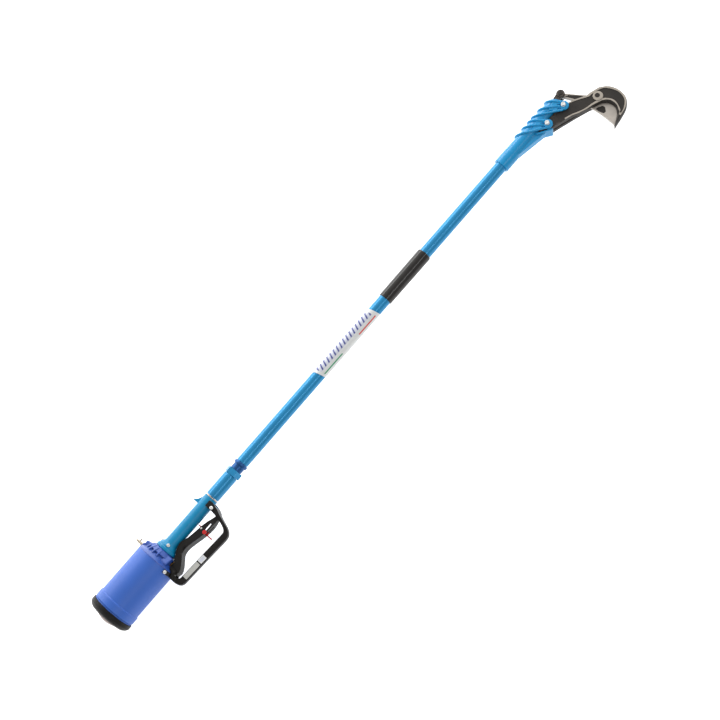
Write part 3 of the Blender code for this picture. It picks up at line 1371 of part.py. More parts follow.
def trigger_lever():
    axis = pivot_at("trigger_axis", *TRIGGER_PIN)
    x, y = TRIGGER_PIN
    reach = LEVER_PIN_R + 0.0021
    run = smooth(lever_stations(), 2)
    bottom = [(at.x, at.y) for at in run]
    top = [(at.x, at.z) for at in run]
    heel = arc(TRIGGER_PIN, reach, 90, 215, 8)
    rear_bottom = [(x - 0.0030, y - 0.0062), (x, y - 0.0080), (x + 0.0060, y - 0.0092), (x + 0.0115, y - 0.0075)]
    rear_top = [(x + 0.0135, LEVER_TOP_Y), (x + 0.0035, LEVER_TOP_Y), (x + 0.0018, LEVER_TOP_Y - 0.0030)]
    wide = LEVER_HALF_WIDTH
    lever = prism("trigger_lever", rear_bottom + bottom + top[::-1] + rear_top + heel, -wide, wide, "black_plastic")
    wall = LEVER_WALL
    open_to = CATCH_X + 0.0217
    floor = [(at.x, at.y + wall) for at in run if at.x < open_to]
    above = -HANDLE_R + 0.010
    channel = [(run[0].x, above)] + floor + [(open_to, floor[-1][1]), (open_to, above)]
    cut(lever, prism("lever_channel", channel, wall - wide, wide - wall))
    narrow_from = CATCH_X + 0.0180
    for side in (-1, 1):
        taper = [
            (narrow_from, side * wide),
            (POST_X - 0.0125, side * LEVER_TIP_HALF_WIDTH),
            (run[-1].x + 0.001, side * LEVER_TIP_HALF_WIDTH),
            (run[-1].x + 0.001, side * (wide + 0.002)),
            (narrow_from, side * (wide + 0.002)),
        ]
        cut(lever, prism("lever_taper", taper, -0.06, 0.0, axis="-Y"))
    slot_half = CATCH_SLOT_HEIGHT / 2
    neck_slot = box(
        "neck_slot",
        (CATCH_X - 0.0016, CATCH_Y - slot_half, wide - wall - 0.003),
        (CATCH_X + CATCH_TRAVEL + 0.0060, CATCH_Y + slot_half, wide + 0.001),
    )
    window = box(
        "far_window",
        (CATCH_X + 0.0027, CATCH_Y + 0.0050, -wide - 0.001),
        (CATCH_X + 0.0217, CATCH_Y + 0.0105, wall - wide + 0.001),
    )
    web_half = CATCH_THICKNESS / 2 + GAP
    web_slot = box(
        "web_slot",
        (CATCH_X - 0.0042, CATCH_Y - 0.0150, -web_half),
        (CATCH_X + CATCH_TRAVEL + 0.0046, CATCH_Y + 0.0040, web_half),
    )
    knee = run[4]
    recess = [
        (knee.x + 0.0037, knee.y + 0.0030),
        (knee.x + 0.0130, knee.y + 0.0030),
        (knee.x + 0.0153, knee.y + 0.0054),
        (knee.x + 0.0115, knee.y + 0.0070),
        (knee.x + 0.0050, knee.y + 0.0048),
    ]
    rivet_at = (CATCH_X + 0.0016, CATCH_Y + 0.0090)
    rivet_hole = rod("rivet_hole", 0.0018 + GAP, (*rivet_at, -0.02), 0.04, sides=16)
    pin_hole = rod("lever_pin_hole", LEVER_PIN_R + GAP, (x, y, -0.02), 0.04)
    cut(lever, neck_slot, window, web_slot, prism("knee_recess", recess, wide - 0.0016, wide + 0.001), rivet_hole, pin_hole)
    lows = (wide - wall, -wide - 0.0004)
    rivets = [rod(f"lever_rivet_{n + 1}", 0.0018, (*rivet_at, low), wall + 0.0004, "Z", "zinc", 16) for n, low in enumerate(lows)]
    carry(axis, lever, *rivets)


def safety_catch():
    axis = pivot_at("catch_axis", CATCH_X, CATCH_Y)
    half = CATCH_THICKNESS / 2
    tab_top = -HANDLE_R - 0.0022
    outline = [
        (0.0015, tab_top - CATCH_Y),
        (0.0039, tab_top - CATCH_Y),
        (0.0039, 0.0040),
        (0.0042, 0.0036),
        (0.0042, -0.0064),
        (-0.0006, -0.0072),
        (-0.0006, -0.0184),
        (-0.0012, -0.0190),
        (-0.0030, -0.0190),
        (-0.0030, -0.0072),
        (-0.0038, -0.0064),
        (-0.0038, 0.0036),
        (0.0015, 0.0056),
    ]
    catch = prism("safety_catch", [(CATCH_X + a, CATCH_Y + b) for a, b in outline], -half, half, "red_plastic")
    outside = LEVER_HALF_WIDTH + GAP
    neck = rod("catch_neck", 0.0011, (CATCH_X, CATCH_Y, 0), outside + 0.001, sides=12)
    button = rod("catch_button", CATCH_BUTTON_R, (CATCH_X, CATCH_Y - 0.0020, outside), 0.0023, sides=24)
    join(catch, neck, button)
    carry(axis, catch)


rear_end_plug()
rear_cap()
barrel()
piston_group()
front_casting()
air_nipple()
pilot_valve()
handle_body()
coupling()
pole()
trigger_guard()
trigger_lever()
safety_catch()
head_bracket()
hook_plate()
cheek_plate()
plate_spacer()
bracket_fasteners()
pivot_fasteners()
blade_group()
link_group()
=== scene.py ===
"""The looks of the pneumatic pole pruner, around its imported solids.

Shapes are given in millimetres in the tool's own frame: X along the pole to the cutting head,
-Y to the trigger guard, +Z to the near side. Every piece is built in place and rides on a body.
"""

import json
from math import atan2, cos, degrees, hypot, pi, radians, sin, sqrt, tan

import bmesh
import bpy
from mathutils import Matrix, Vector

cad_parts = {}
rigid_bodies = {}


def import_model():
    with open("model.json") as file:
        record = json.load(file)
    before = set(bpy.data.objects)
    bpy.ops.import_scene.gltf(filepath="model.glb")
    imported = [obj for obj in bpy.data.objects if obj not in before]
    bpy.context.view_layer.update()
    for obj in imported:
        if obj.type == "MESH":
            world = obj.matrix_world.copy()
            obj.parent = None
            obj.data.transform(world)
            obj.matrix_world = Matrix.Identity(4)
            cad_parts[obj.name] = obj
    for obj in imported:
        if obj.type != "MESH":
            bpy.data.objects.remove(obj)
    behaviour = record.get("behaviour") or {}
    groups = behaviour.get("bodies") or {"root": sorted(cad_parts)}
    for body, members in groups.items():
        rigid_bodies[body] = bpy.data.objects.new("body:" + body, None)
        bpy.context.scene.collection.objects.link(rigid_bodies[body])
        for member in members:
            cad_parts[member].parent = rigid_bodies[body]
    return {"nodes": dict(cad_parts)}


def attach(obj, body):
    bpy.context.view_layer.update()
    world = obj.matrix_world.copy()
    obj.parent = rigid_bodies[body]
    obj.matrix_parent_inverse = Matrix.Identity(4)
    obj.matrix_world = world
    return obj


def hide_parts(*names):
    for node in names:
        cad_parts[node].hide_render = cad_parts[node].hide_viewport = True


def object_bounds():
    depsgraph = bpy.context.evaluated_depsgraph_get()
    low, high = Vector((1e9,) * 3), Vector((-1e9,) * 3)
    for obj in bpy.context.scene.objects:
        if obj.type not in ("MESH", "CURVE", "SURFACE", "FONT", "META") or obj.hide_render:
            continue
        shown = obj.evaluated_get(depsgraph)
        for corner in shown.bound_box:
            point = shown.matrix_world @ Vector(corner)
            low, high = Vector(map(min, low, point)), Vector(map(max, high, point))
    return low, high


for old in list(bpy.data.objects):
    bpy.data.objects.remove(old)
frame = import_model()
CAD_LOW, CAD_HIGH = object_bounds()
NODES = frame["nodes"]
SCENE = bpy.context.scene
MM = 0.001

# Stations along X and the main radii
CAP_X, CAP_FRONT = 8, 24.5
BARREL_X, BARREL_FRONT, BARREL_R, BORE_R = 12.3, 150, 43.5, 40
CASTING_X, CASTING_FRONT = 150.3, 174.8
INLET_X, VALVE_X, TOWER_X = 153.1, 162, 163.3
HANDLE_X, HANDLE_FRONT, HANDLE_R, ROD_ROOM = 175.1, 308.1, 14.6, 7.6
SLEEVE_X, SEAT_X, NUT_X, NECK_X, COLLAR_X = 311, 329.4, 366.7, 379.7, 390.7
POLE_X, POLE_FRONT, POLE_R = 398.7, 1236.7, 13
GRIP_X, GRIP_FRONT = 829, 951.3
BRACKET_X, BRACKET_FRONT = 1191.7, 1369.7

# Screws, pins and pivots
FLANGE_SCREW_X = 186.8
FLANGE_TURNS = [12 + 90 * n for n in range(4)]
LUG = (294.5, -19.8)
PIN = Vector((156.5, -45))
CATCH = Vector((251.3, -38))
RIVET = (252.9, -29)
BOLTS = (1316, 1367.5)
BOLT_Y = -20.5
PIVOT = Vector((1425.5, -61))
ARM, LINK = 75, 75
TAIL = PIVOT + ARM * Vector((cos(radians(120)), sin(radians(120))))
EYE = Vector((TAIL.x - sqrt(LINK**2 - TAIL.y**2), 0))

# Heights in the cutting head, and a clearance between fixed pieces
PLATE_INNER, PLATE_OUTER = 3.3, 13
LOBE_INNER, LOBE_OUTER = 13.3, 17.5
GAP = 0.3

# The middle of the tool's length, in metres, which the floor and the lights are set round
MIDDLE_X = 0.72


# Materials


def socket(value, where):
    """Links a node's output, or sets the number or colour, at an input."""
    if isinstance(value, bpy.types.NodeSocket):
        where.id_data.links.new(value, where)
    elif hasattr(value, "__len__") and len(value) < len(where.default_value):
        where.default_value = (*value, 1)
    else:
        where.default_value = value


def feed(made, inputs):
    """Links or sets inputs of a node."""
    for key, value in inputs.items():
        socket(value, made.inputs[key])
    return made


def node(tree, kind, inputs=None, **settings):
    made = tree.nodes.new("ShaderNode" + kind)
    for key, value in settings.items():
        setattr(made, key, value)
    return feed(made, inputs or {})


def noise(tree, at, scale, detail=3, stretch=None, rough=0.5):
    """Fractal noise at a place, finer along the axes with a larger stretch."""
    if stretch:
        at = node(tree, "Mapping", {"Vector": at, "Scale": stretch}).outputs[0]
    found = node(tree, "TexNoise", {"Vector": at, "Scale": scale, "Detail": detail, "Roughness": rough})
    return found.outputs["Fac"]


def ramp(tree, value, low, high, first=(0, 0, 0), last=(1, 1, 1)):
    """Two colours, with a blend between two values."""
    made = node(tree, "ValToRGB", {"Fac": value})
    elements = made.color_ramp.elements
    elements[0].position = low
    elements[1].position = high
    elements[0].color = (*first, 1)
    elements[1].color = (*last, 1)
    return made.outputs["Color"]


def spread(tree, value, low, high, first, last):
    keys = {"Value": value, "From Min": low, "From Max": high, "To Min": first, "To Max": last}
    return node(tree, "MapRange", keys).outputs["Result"]


def mixed(tree, share, first, last, blend="MIX"):
    made = node(tree, "Mix", {0: share, 6: first, 7: last}, data_type="RGBA", blend_type=blend)
    return made.outputs[2]


def product(tree, first, second):
    return node(tree, "Math", {0: first, 1: second}, operation="MULTIPLY").outputs[0]


def turned_marks(tree, at, rings):
    """Fine rings round the X axis, as turning leaves them."""
    flat = node(tree, "Mapping", {"Vector": at, "Scale": (0, 1, 1)}).outputs[0]
    length = node(tree, "VectorMath", {0: flat}, operation="LENGTH").outputs["Value"]
    return node(tree, "Math", {0: product(tree, length, rings)}, operation="SINE").outputs[0]


def tinted(colour, by):
    return tuple(min(1, c * by) for c in colour)


def new_material(name):
    made = bpy.data.materials.new(name)
    made.use_nodes = True
    return made, made.node_tree, made.node_tree.nodes["Principled BSDF"]


def finish(
    name, colour, rough=0.4, metal=0, coat=0, vary=0.08, clouds=60, grain=1500, stretch=None,
    bump=0.012, bump_scale=500, wear_and_highlight=None, wear_and_highlight_at=(0.53, 0.6), dust=0, specular=0.5,
    rough_vary=0.06, rings=0, painted_crevice_shade=0,
):
    """A finish with uneven tone, fine grain in its gloss, relief, paler edges that are partly rubbed wear
    and partly painted highlight, and painted shade in its hollows.
    """
    made, tree, shader = new_material(name)
    at = node(tree, "TexCoord").outputs["Object"]
    cloudy = noise(tree, at, clouds, 4)
    grainy = noise(tree, at, grain, 2, stretch)
    base = ramp(tree, cloudy, 0.3, 0.7, tinted(colour, 1 - vary), tinted(colour, 1 + vary))
    fine = ramp(tree, grainy, 0.3, 0.7, (1 - vary * 0.6,) * 3)
    base = mixed(tree, 1, base, fine, "MULTIPLY")
    if dust:
        specks = ramp(tree, noise(tree, at, 160, 6, rough=0.65), 0.62, 0.72)
        base = mixed(tree, product(tree, specks, dust), base, (0.55, 0.52, 0.47))
    # Paler colour on sharp edges, in patches: partly rubbed wear, partly painted highlight.
    if wear_and_highlight:
        edge = ramp(tree, node(tree, "NewGeometry").outputs["Pointiness"], *wear_and_highlight_at)
        patchy = ramp(tree, noise(tree, at, 220, 4), 0.4, 0.58)
        base = mixed(tree, mixed(tree, 1, edge, patchy, "MULTIPLY"), base, wear_and_highlight)
    # Painted shade: darker colour in hollows and creases, where shade falls.
    if painted_crevice_shade:
        shade_tone = (1 - painted_crevice_shade,) * 3
        shade_in_hollows = ramp(tree, node(tree, "NewGeometry").outputs["Pointiness"], 0.4, 0.5, shade_tone)
        base = mixed(tree, 1, base, shade_in_hollows, "MULTIPLY")
    if rings:
        height, strength = turned_marks(tree, at, rings), 0.35
    else:
        height, strength = noise(tree, at, bump_scale, 3, stretch), 0.6
    relief = node(tree, "Bump", {"Height": height, "Strength": strength, "Distance": bump * MM})
    gloss = spread(tree, grainy, 0.3, 0.7, max(0.03, rough - rough_vary), rough + rough_vary)
    feed(shader, {"Base Color": base, "Roughness": gloss, "Normal": relief.outputs[0], "Metallic": metal})
    feed(shader, {"Specular IOR Level": specular, "Coat Weight": coat, "Coat Roughness": 0.08})
    return made


def printed(name, colour):
    """A printed film in one plain colour."""
    return finish(name, colour, rough=0.38, coat=0.1, vary=0.05, clouds=90, grain=1200)


# Paints
BARREL = finish(
    "barrel_paint", (0.018, 0.114, 0.52), rough=0.5, vary=0.05, clouds=18, bump=0.03, bump_scale=420,
    specular=0.75,
)
# Front casting paint: its paler blue edges are partly rubbed paint and partly painted highlight, and its
# darkened hollows are painted shade.
CASTING = finish(
    "casting_paint", (0.018, 0.08, 0.395), rough=0.38, vary=0.1, grain=900, bump=0.1, bump_scale=520,
    wear_and_highlight=(0.1, 0.17, 0.5), specular=0.8, painted_crevice_shade=0.75,
)
# Head bracket paint: its darkened hollows between the ribs are painted shade.
PAINT = finish(
    "light_blue_paint", (0.003, 0.275, 0.575), rough=0.26, vary=0.05, clouds=30, grain=900, bump=0.03,
    bump_scale=350, painted_crevice_shade=0.8,
)
HANDLE = finish(
    "handle_paint", (0.003, 0.245, 0.47), rough=0.36, vary=0.06, clouds=40, grain=900, bump=0.03,
    bump_scale=380, specular=0.38,
)
ANODISED = finish(
    "anodised_tube", (0.016, 0.245, 0.5), rough=0.24, metal=0.3, vary=0.06, clouds=22, grain=900,
    stretch=(0.04, 1, 1), bump=0.006, bump_scale=1500,
)
DARK_ANODISED = finish(
    "anodised_fitting", (0.016, 0.09, 0.27), rough=0.34, metal=0.6, grain=1400, stretch=(1, 0.1, 0.1),
    bump=0.01, bump_scale=2500,
)

# Rubber and plastic
CAP = finish(
    "cap_rubber", (0.009, 0.0085, 0.008), rough=0.5, vary=0.2, clouds=80, grain=1600, bump=0.05,
    bump_scale=1600, dust=0.03, specular=0.2,
)
# Black moulded plastic: its paler edges are partly rubbed plastic and partly painted highlight.
PLASTIC = finish(
    "moulded_plastic", (0.0115, 0.0103, 0.0091), vary=0.18, clouds=90, grain=1800, bump=0.045,
    bump_scale=1500, wear_and_highlight=(0.06, 0.055, 0.05), wear_and_highlight_at=(0.54, 0.64), specular=0.18,
)
GRIP = finish(
    "grip_sleeve_gloss", (0.02, 0.018, 0.016), rough=0.13, vary=0.2, bump=0.004, bump_scale=300,
    specular=0.45, rough_vary=0.02,
)
RED = finish("red_plastic", (0.6, 0.008, 0.01), rough=0.32, coat=0.1, vary=0.06, clouds=120, bump=0.02)
SEAL = finish("seal_rubber", (0.02, 0.02, 0.02), rough=0.5, vary=0.1, clouds=80, bump=0.02)
NYLON = finish("nylon", (0.66, 0.65, 0.59), rough=0.42, vary=0.05, bump=0.02)

# Metals
ALUMINIUM = finish("turned_aluminium", (0.2, 0.148, 0.132), metal=0.9, bump=0.04, rings=18000)
BRONZE = finish(
    "pale_bronze_ring", (0.7, 0.55, 0.46), rough=0.34, metal=0.7, clouds=90, grain=2000, bump=0.01
)
NICKEL = finish(
    "nickel_plate", (0.56, 0.49, 0.39), rough=0.3, metal=0.9, vary=0.12, clouds=200, grain=2200,
    bump=0.015, bump_scale=900,
)
BRASS = finish(
    "turned_brass", (0.26, 0.145, 0.05), rough=0.34, metal=0.95, vary=0.12, clouds=150, grain=2200
)
ZINC = finish(
    "zinc_plate", (0.88, 0.87, 0.84), rough=0.24, metal=0.5, vary=0.12, clouds=250, grain=2600,
    bump_scale=1200,
)
STEEL = finish(
    "ground_bar", (0.48, 0.47, 0.45), rough=0.25, metal=0.95, clouds=40, grain=1600,
    stretch=(0.05, 1, 1), bump=0.01,
)
FORGING = finish(
    "black_forging", (0.031, 0.027, 0.024), rough=0.46, metal=0.2, vary=0.16, clouds=55, grain=900,
    bump=0.09, bump_scale=700, dust=0.03, wear_and_highlight=(0.12, 0.1, 0.085), wear_and_highlight_at=(0.54, 0.64), specular=0.3,
)
GROUND = finish(
    "ground_edge", (0.42, 0.375, 0.32), rough=0.38, metal=0.45, vary=0.1, clouds=130,
    stretch=(1, 0.12, 1), bump=0.03, bump_scale=1500,
)
BLADE = finish(
    "ground_blade", (0.5, 0.455, 0.405), rough=0.36, metal=0.4, vary=0.12, grain=1300,
    stretch=(1, 0.06, 1), bump=0.02, bump_scale=1800,
)

# Films
WHITE_FILM = finish("white_film", (0.72, 0.73, 0.72), rough=0.36, coat=0.1, vary=0.04, grain=1200)
GREY_FILM = finish("grey_film", (0.46, 0.46, 0.43), rough=0.42, vary=0.06, clouds=120, bump=0.01)
BLUE_FILM = printed("blue_print", (0.055, 0.065, 0.26))
PALE_FILM = printed("pale_blue_print", (0.6, 0.62, 0.7))
GREEN_FILM = printed("green_print", (0.06, 0.32, 0.16))
RED_FILM = printed("red_print", (0.66, 0.045, 0.04))


# Shapes, in millimetres


def rounded(points, radius, steps=3, keep=None):
    """The points with their corners rounded, but not those that keep is true for."""
    points = [Vector(p) for p in points]
    found = []
    for n, point in enumerate(points):
        if keep and keep(point):
            found.append(point)
            continue
        before = points[n - 1] - point
        after = points[(n + 1) % len(points)] - point
        if min(before.length, after.length) < 1e-4:
            continue
        turn = before.angle(after)
        if turn > radians(168):
            found.append(point)
            continue
        reach = min(radius / tan(turn / 2), 0.46 * before.length, 0.46 * after.length)
        start = point + before.normalized() * reach
        end = point + after.normalized() * reach
        for step in range(steps + 1):
            t = step / steps
            found.append(start * (1 - t) ** 2 + point * 2 * t * (1 - t) + end * t * t)
    return found


def smooth(points, steps):
    """Points of a smooth curve through the given ones."""
    points = [Vector(p) for p in points]
    ends = [2 * points[0] - points[1]] + points + [2 * points[-1] - points[-2]]
    found = []
    for before, here, after, beyond in zip(ends, ends[1:], ends[2:], ends[3:]):
        for n in range(steps):
            t = n / steps
            curve = 2 * here + (after - before) * t
            curve += (2 * before - 5 * here + 4 * after - beyond) * t * t
            curve += (3 * here - before - 3 * after + beyond) * t**3
            found.append(curve / 2)
    return found + [points[-1]]


def arc(centre, radius, first, last, count):
    angles = [radians(first + (last - first) * n / count) for n in range(count + 1)]
    return [Vector(centre) + radius * Vector((cos(a), sin(a))) for a in angles]


def made_of(name, bm):
    """An object in metres from a bmesh in millimetres."""
    bmesh.ops.remove_doubles(bm, verts=bm.verts, dist=0.001)
    bmesh.ops.recalc_face_normals(bm, faces=bm.faces)
    bmesh.ops.scale(bm, vec=(MM, MM, MM), verts=bm.verts)
    mesh = bpy.data.meshes.new(name)
    bm.to_mesh(mesh)
    bm.free()
    obj = bpy.data.objects.new(name, mesh)
    SCENE.collection.objects.link(obj)
    return obj


def settle(obj):
    """Applies the modifiers."""
    bpy.context.view_layer.update()
    graph = bpy.context.evaluated_depsgraph_get()
    mesh = bpy.data.meshes.new_from_object(obj.evaluated_get(graph))
    old_mesh = obj.data
    obj.modifiers.clear()
    obj.data = mesh
    bpy.data.meshes.remove(old_mesh)
    return obj


def placed(axis, a, b, along):
    """A point at a place along an axis, with its two other coordinates in order."""
    return {"X": (along, a, b), "Y": (a, along, b), "Z": (a, b, along)}[axis]


def lathe(name, outline, fillet=0.4, segments=96, axis="X", centre=(0, 0), steps=3):
    """A turned shape from along, radius points. Its outline closes through the axis or the bore."""
    outline = rounded(outline, fillet, steps, keep=lambda p: p.y < 1e-6)
    if max(outline[0].y, outline[-1].y) > 1e-6:
        outline.append(outline[0])
    angles = [2 * pi * n / segments for n in range(segments)]
    rings = []
    for along, radius in outline:
        ring = [(centre[0] + radius * cos(a), centre[1] + radius * sin(a)) for a in angles]
        rings.append([placed(axis, *place, along) for place in ring])
    return loft(name, rings, capped=False)


def loft(name, rows, capped=True):
    """A shape through closed lines that have as many points each."""
    bm = bmesh.new()
    rows = [[bm.verts.new(point) for point in row] for row in rows]
    for first, second in zip(rows, rows[1:]):
        for n in range(len(first)):
            bm.faces.new((first[n - 1], first[n], second[n], second[n - 1]))
    if capped:
        bm.faces.new(rows[0][::-1])
        bm.faces.new(rows[-1])
    return made_of(name, bm)


def slab(name, outline, low, high, axis="Z", bevel=0, segments=3):
    """A flat outline between two places: x, y points along Z, y, z along X, x, z along Y."""
    obj = loft(name, [[placed(axis, *p, h) for p in outline] for h in (low, high)])
    return bevelled(obj, bevel, segments) if bevel else obj


def bevelled(obj, width, segments=2, angle=30):
    edges = obj.modifiers.new("edges", "BEVEL")
    edges.width = width * MM
    edges.segments = segments
    edges.limit_method = "ANGLE"
    edges.angle_limit = radians(angle)
    edges.use_clamp_overlap = True
    return settle(obj)


def block(name, low, high, bevel=0, segments=3):
    outline = [(low[0], low[1]), (high[0], low[1]), (high[0], high[1]), (low[0], high[1])]
    return slab(name, outline, low[2], high[2], "Z", bevel, segments)


def pin(name, radius, start, length, axis="Z", fillet=0.3, segments=32):
    """A round bar from the point start along an axis."""
    centre = list(start)
    low = centre.pop("XYZ".index(axis))
    outline = [(low, 0), (low, radius), (low + length, radius), (low + length, 0)]
    return lathe(name, outline, fillet, segments, axis, centre)


def through(place, radius, segments=32):
    """A round cutter along Z through everything at a place."""
    return pin("through", radius, (*place, -60), 120, "Z", 0.1, segments)


def heading(points, n):
    """The direction of a line at one of its points."""
    return (points[min(n + 1, len(points) - 1)] - points[max(n - 1, 0)]).normalized()


def bar(name, points, radius, segments):
    """A round bar along points."""
    points = [Vector(p) for p in points]
    angles = [2 * pi * k / segments for k in range(segments)]
    up = Vector((0.31, 0.22, 0.92))
    rings = []
    for n, point in enumerate(points):
        along = heading(points, n)
        side = along.cross(up).normalized()
        up = side.cross(along)
        rings.append([point + radius * (side * cos(a) - up * sin(a)) for a in angles])
    return loft(name, rings)


def boolean(obj, tools, operation):
    for tool in tools:
        step = obj.modifiers.new("step", "BOOLEAN")
        step.operation = operation
        step.solver = "EXACT"
        step.object = tool
        step.material_mode = "TRANSFER"
        if tool.data.materials and not obj.data.materials:
            obj.data.materials.append(None)
    settle(obj)
    for tool in tools:
        bpy.data.objects.remove(tool)
    return obj


def join(obj, *tools):
    return boolean(obj, tools, "UNION")


def cut(obj, *tools):
    return boolean(obj, tools, "DIFFERENCE")


def cast(obj, voxel, keep):
    """Melts the shape together, as in a casting, and keeps a share of its faces."""
    remesh = obj.modifiers.new("remesh", "REMESH")
    remesh.mode = "VOXEL"
    remesh.voxel_size = voxel * MM
    soft = obj.modifiers.new("soft", "SMOOTH")
    soft.factor = 0.5
    soft.iterations = 2
    thin = obj.modifiers.new("thin", "DECIMATE")
    thin.ratio = keep
    return settle(obj)


def dress(obj, material, stands_for=None, body="pole", angle=32, weighted=True):
    """Gives a finished shape its material, shading and body, and hides the solid that it stands for."""
    if not obj.data.materials:
        obj.data.materials.append(material)
    elif obj.data.materials[0] is None:
        obj.data.materials[0] = material
    obj.data.shade_smooth()
    obj.data.set_sharp_from_angle(angle=radians(angle))
    if weighted:
        even = obj.modifiers.new("even", "WEIGHTED_NORMAL")
        even.keep_sharp = True
    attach(obj, body)
    if stands_for:
        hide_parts(stands_for)
    return obj


def hexagon(centre, flats, turn=0):
    corner = flats / sqrt(3)
    angles = [radians(turn + 60 * n) for n in range(6)]
    return [(centre[0] + corner * cos(a), centre[1] + corner * sin(a)) for a in angles]


def turned(obj, angle):
    """Turns a shape round the X axis."""
    obj.data.transform(Matrix.Rotation(radians(angle), 4, "X"))
    return obj


# Air cylinder


def end_plug():
    """The domed rear plug, with its seal's groove and two small holes."""
    middle, rim, depth, steps = 9, 29, 8, 14
    spokes = [middle + (rim - middle) * n / steps for n in range(steps)]
    dome = [(depth * (r**2 - middle**2) / (rim**2 - middle**2), r) for r in spokes]
    seat, groove = BORE_R - GAP, BORE_R - 3.5
    outline = [(1.4, 0), (1.4, 2.2), (0, 3.6)] + dome + [(7.2, rim), (BARREL_X, rim), (BARREL_X, seat)]
    for x, radius in ((3.4, seat), (3.4, groove), (6.6, groove), (6.6, seat), (10, seat), (10, 0)):
        outline.append((BARREL_X + x, radius))
    plug = lathe("end_plug_dome", outline, 0.3, 128)
    holes = [pin("hole", 1.6, (-1, 19 * side, 0), 5.5, "X", 0.1, 24) for side in (-1, 1)]
    dress(cut(plug, *holes), ALUMINIUM, "rear_end_plug")


def cap_ring():
    """The black ring round the rear end, with a fine groove near its front edge."""
    rim, groove, inner = 46.3, 45.9, BARREL_R + GAP
    outline = [(CAP_X, 29.3), (CAP_X, 38.6), (11.4, 43.4), (16, rim), (21.6, rim), (21.9, groove)]
    outline += [(22.4, groove), (22.7, rim), (CAP_FRONT, rim), (CAP_FRONT, inner), (12, inner), (12, 29.3)]
    dress(lathe("cap_ring", outline, 0.9, 144), CAP, "rear_cap")


def barrel():
    """The cylinder's tube, with a raised bead near its rear end."""
    bead = 45.25
    outline = [(BARREL_X, BORE_R), (BARREL_X, BARREL_R), (26.6, BARREL_R), (28, 45.1), (30, bead)]
    outline += [(41, bead), (43, 45.1), (44.4, BARREL_R), (BARREL_FRONT - 0.3, BARREL_R)]
    outline += [(BARREL_FRONT, BARREL_R - 0.15), (BARREL_FRONT, BORE_R)]
    tube = lathe("barrel_tube", outline, 0.8, 160, steps=4)
    dress(tube, BARREL, "cylinder_barrel")


# Front casting


def casting_shell():
    """The turned shape: the spigot in the barrel, the cone, the collar and the spigot in the handle."""
    rear, front, bore, spigot, neck = CASTING_X - 13, CASTING_FRONT + 19, 9.8, BORE_R - GAP, 11
    outline = [(rear, bore), (rear, spigot), (150.05, spigot), (150.05, 43), (149.5, 43), (149.5, 43.7)]
    outline += [(151.8, 43.6), (152.6, 42.4), (158.8, 33.3), (162.4, 28.2), (163.4, 28.2), (164.6, 30.6)]
    outline += [(166, 30.8), (172.6, 25.8), (174.2, 24), (CASTING_FRONT, 22.8), (CASTING_FRONT, neck)]
    outline += [(front, neck), (front, bore)]
    return lathe("casting_shell", outline, 0.8, 112)


def casting_fins():
    """Five gusset fins a side, round the cone and the collar."""
    top = [(155.3, 35), (159.3, 35.4), (165.3, 32.8), (172.8, 26.8), (174.2, 23.4)]
    edge = [(top[0][0], 12)] + top + [(top[-1][0], 12)]
    turns = [8 - 19 * n for n in range(5)]
    fins = []
    for turn in turns + [180 - turn for turn in turns]:
        fin = slab("fin", [(x, -r) for x, r in edge], -1.7, 1.7, "Z", 0.4, 2)
        fins.append(turned(fin, turn - 90))
    return fins


def casting_blocks():
    """The valve's housing and its two shoulders, the pilot tower and the inlet's boss."""
    blocks = [block("housing", (151.3, -28.5, -15), (173.4, -11.5, 15), 3, 4)]
    shoulder = [(153, 8), (153, 24.5), (157.5, 28.5), (160, 27.5), (172.4, 19.6), (173.4, 17.8)]
    shoulder += [(173.4, 8)]
    for side in (-1, 1):
        blocks.append(slab("shoulder", [(x, z * side) for x, z in shoulder], -29, -15, "Y", 1.6))
    blocks.append(block("tower", (158.8, 15, -10), (167.8, 40, 10), 2.8))
    blocks.append(block("boss", (150.5, 15, -6), (159.5, 43.8, 6), 2.2))
    return blocks


def front_casting():
    casting = casting_shell()
    join(casting, *casting_fins(), *casting_blocks())
    cut(
        casting,
        block("lever_relief", (160.4, -46, -13.5), (182, -28.4, 13.5)),
        pin("valve_room", 9.1, (VALVE_X, -60, 0), 31.5, "Y", 0.1, 48),
        pin("valve_bore", 6.5, (VALVE_X, -50, 0), 36, "Y", 0.1, 32),
        pin("inlet", 2.9, (INLET_X, 35.8, 0), 20, "Y", 0.1, 32),
        *[pin("screw_seat", 2.2, (TOWER_X, 33, z), 12, "Y", 0.2, 24) for z in (5, -5)],
    )
    cast(casting, 0.5, 0.45)
    dress(casting, CASTING, "front_casting", angle=50, weighted=False)
    for n, z in enumerate((-5, 5), 1):
        screw = pin(f"tower_screw_{n}", 1.7, (TOWER_X, 33.4, z), 5.4, "Y", 0.5, 24)
        cut(screw, slab("socket", hexagon((TOWER_X, z), 1.7, 10), 38, 42.2, "Y"))
        dress(screw, ZINC)


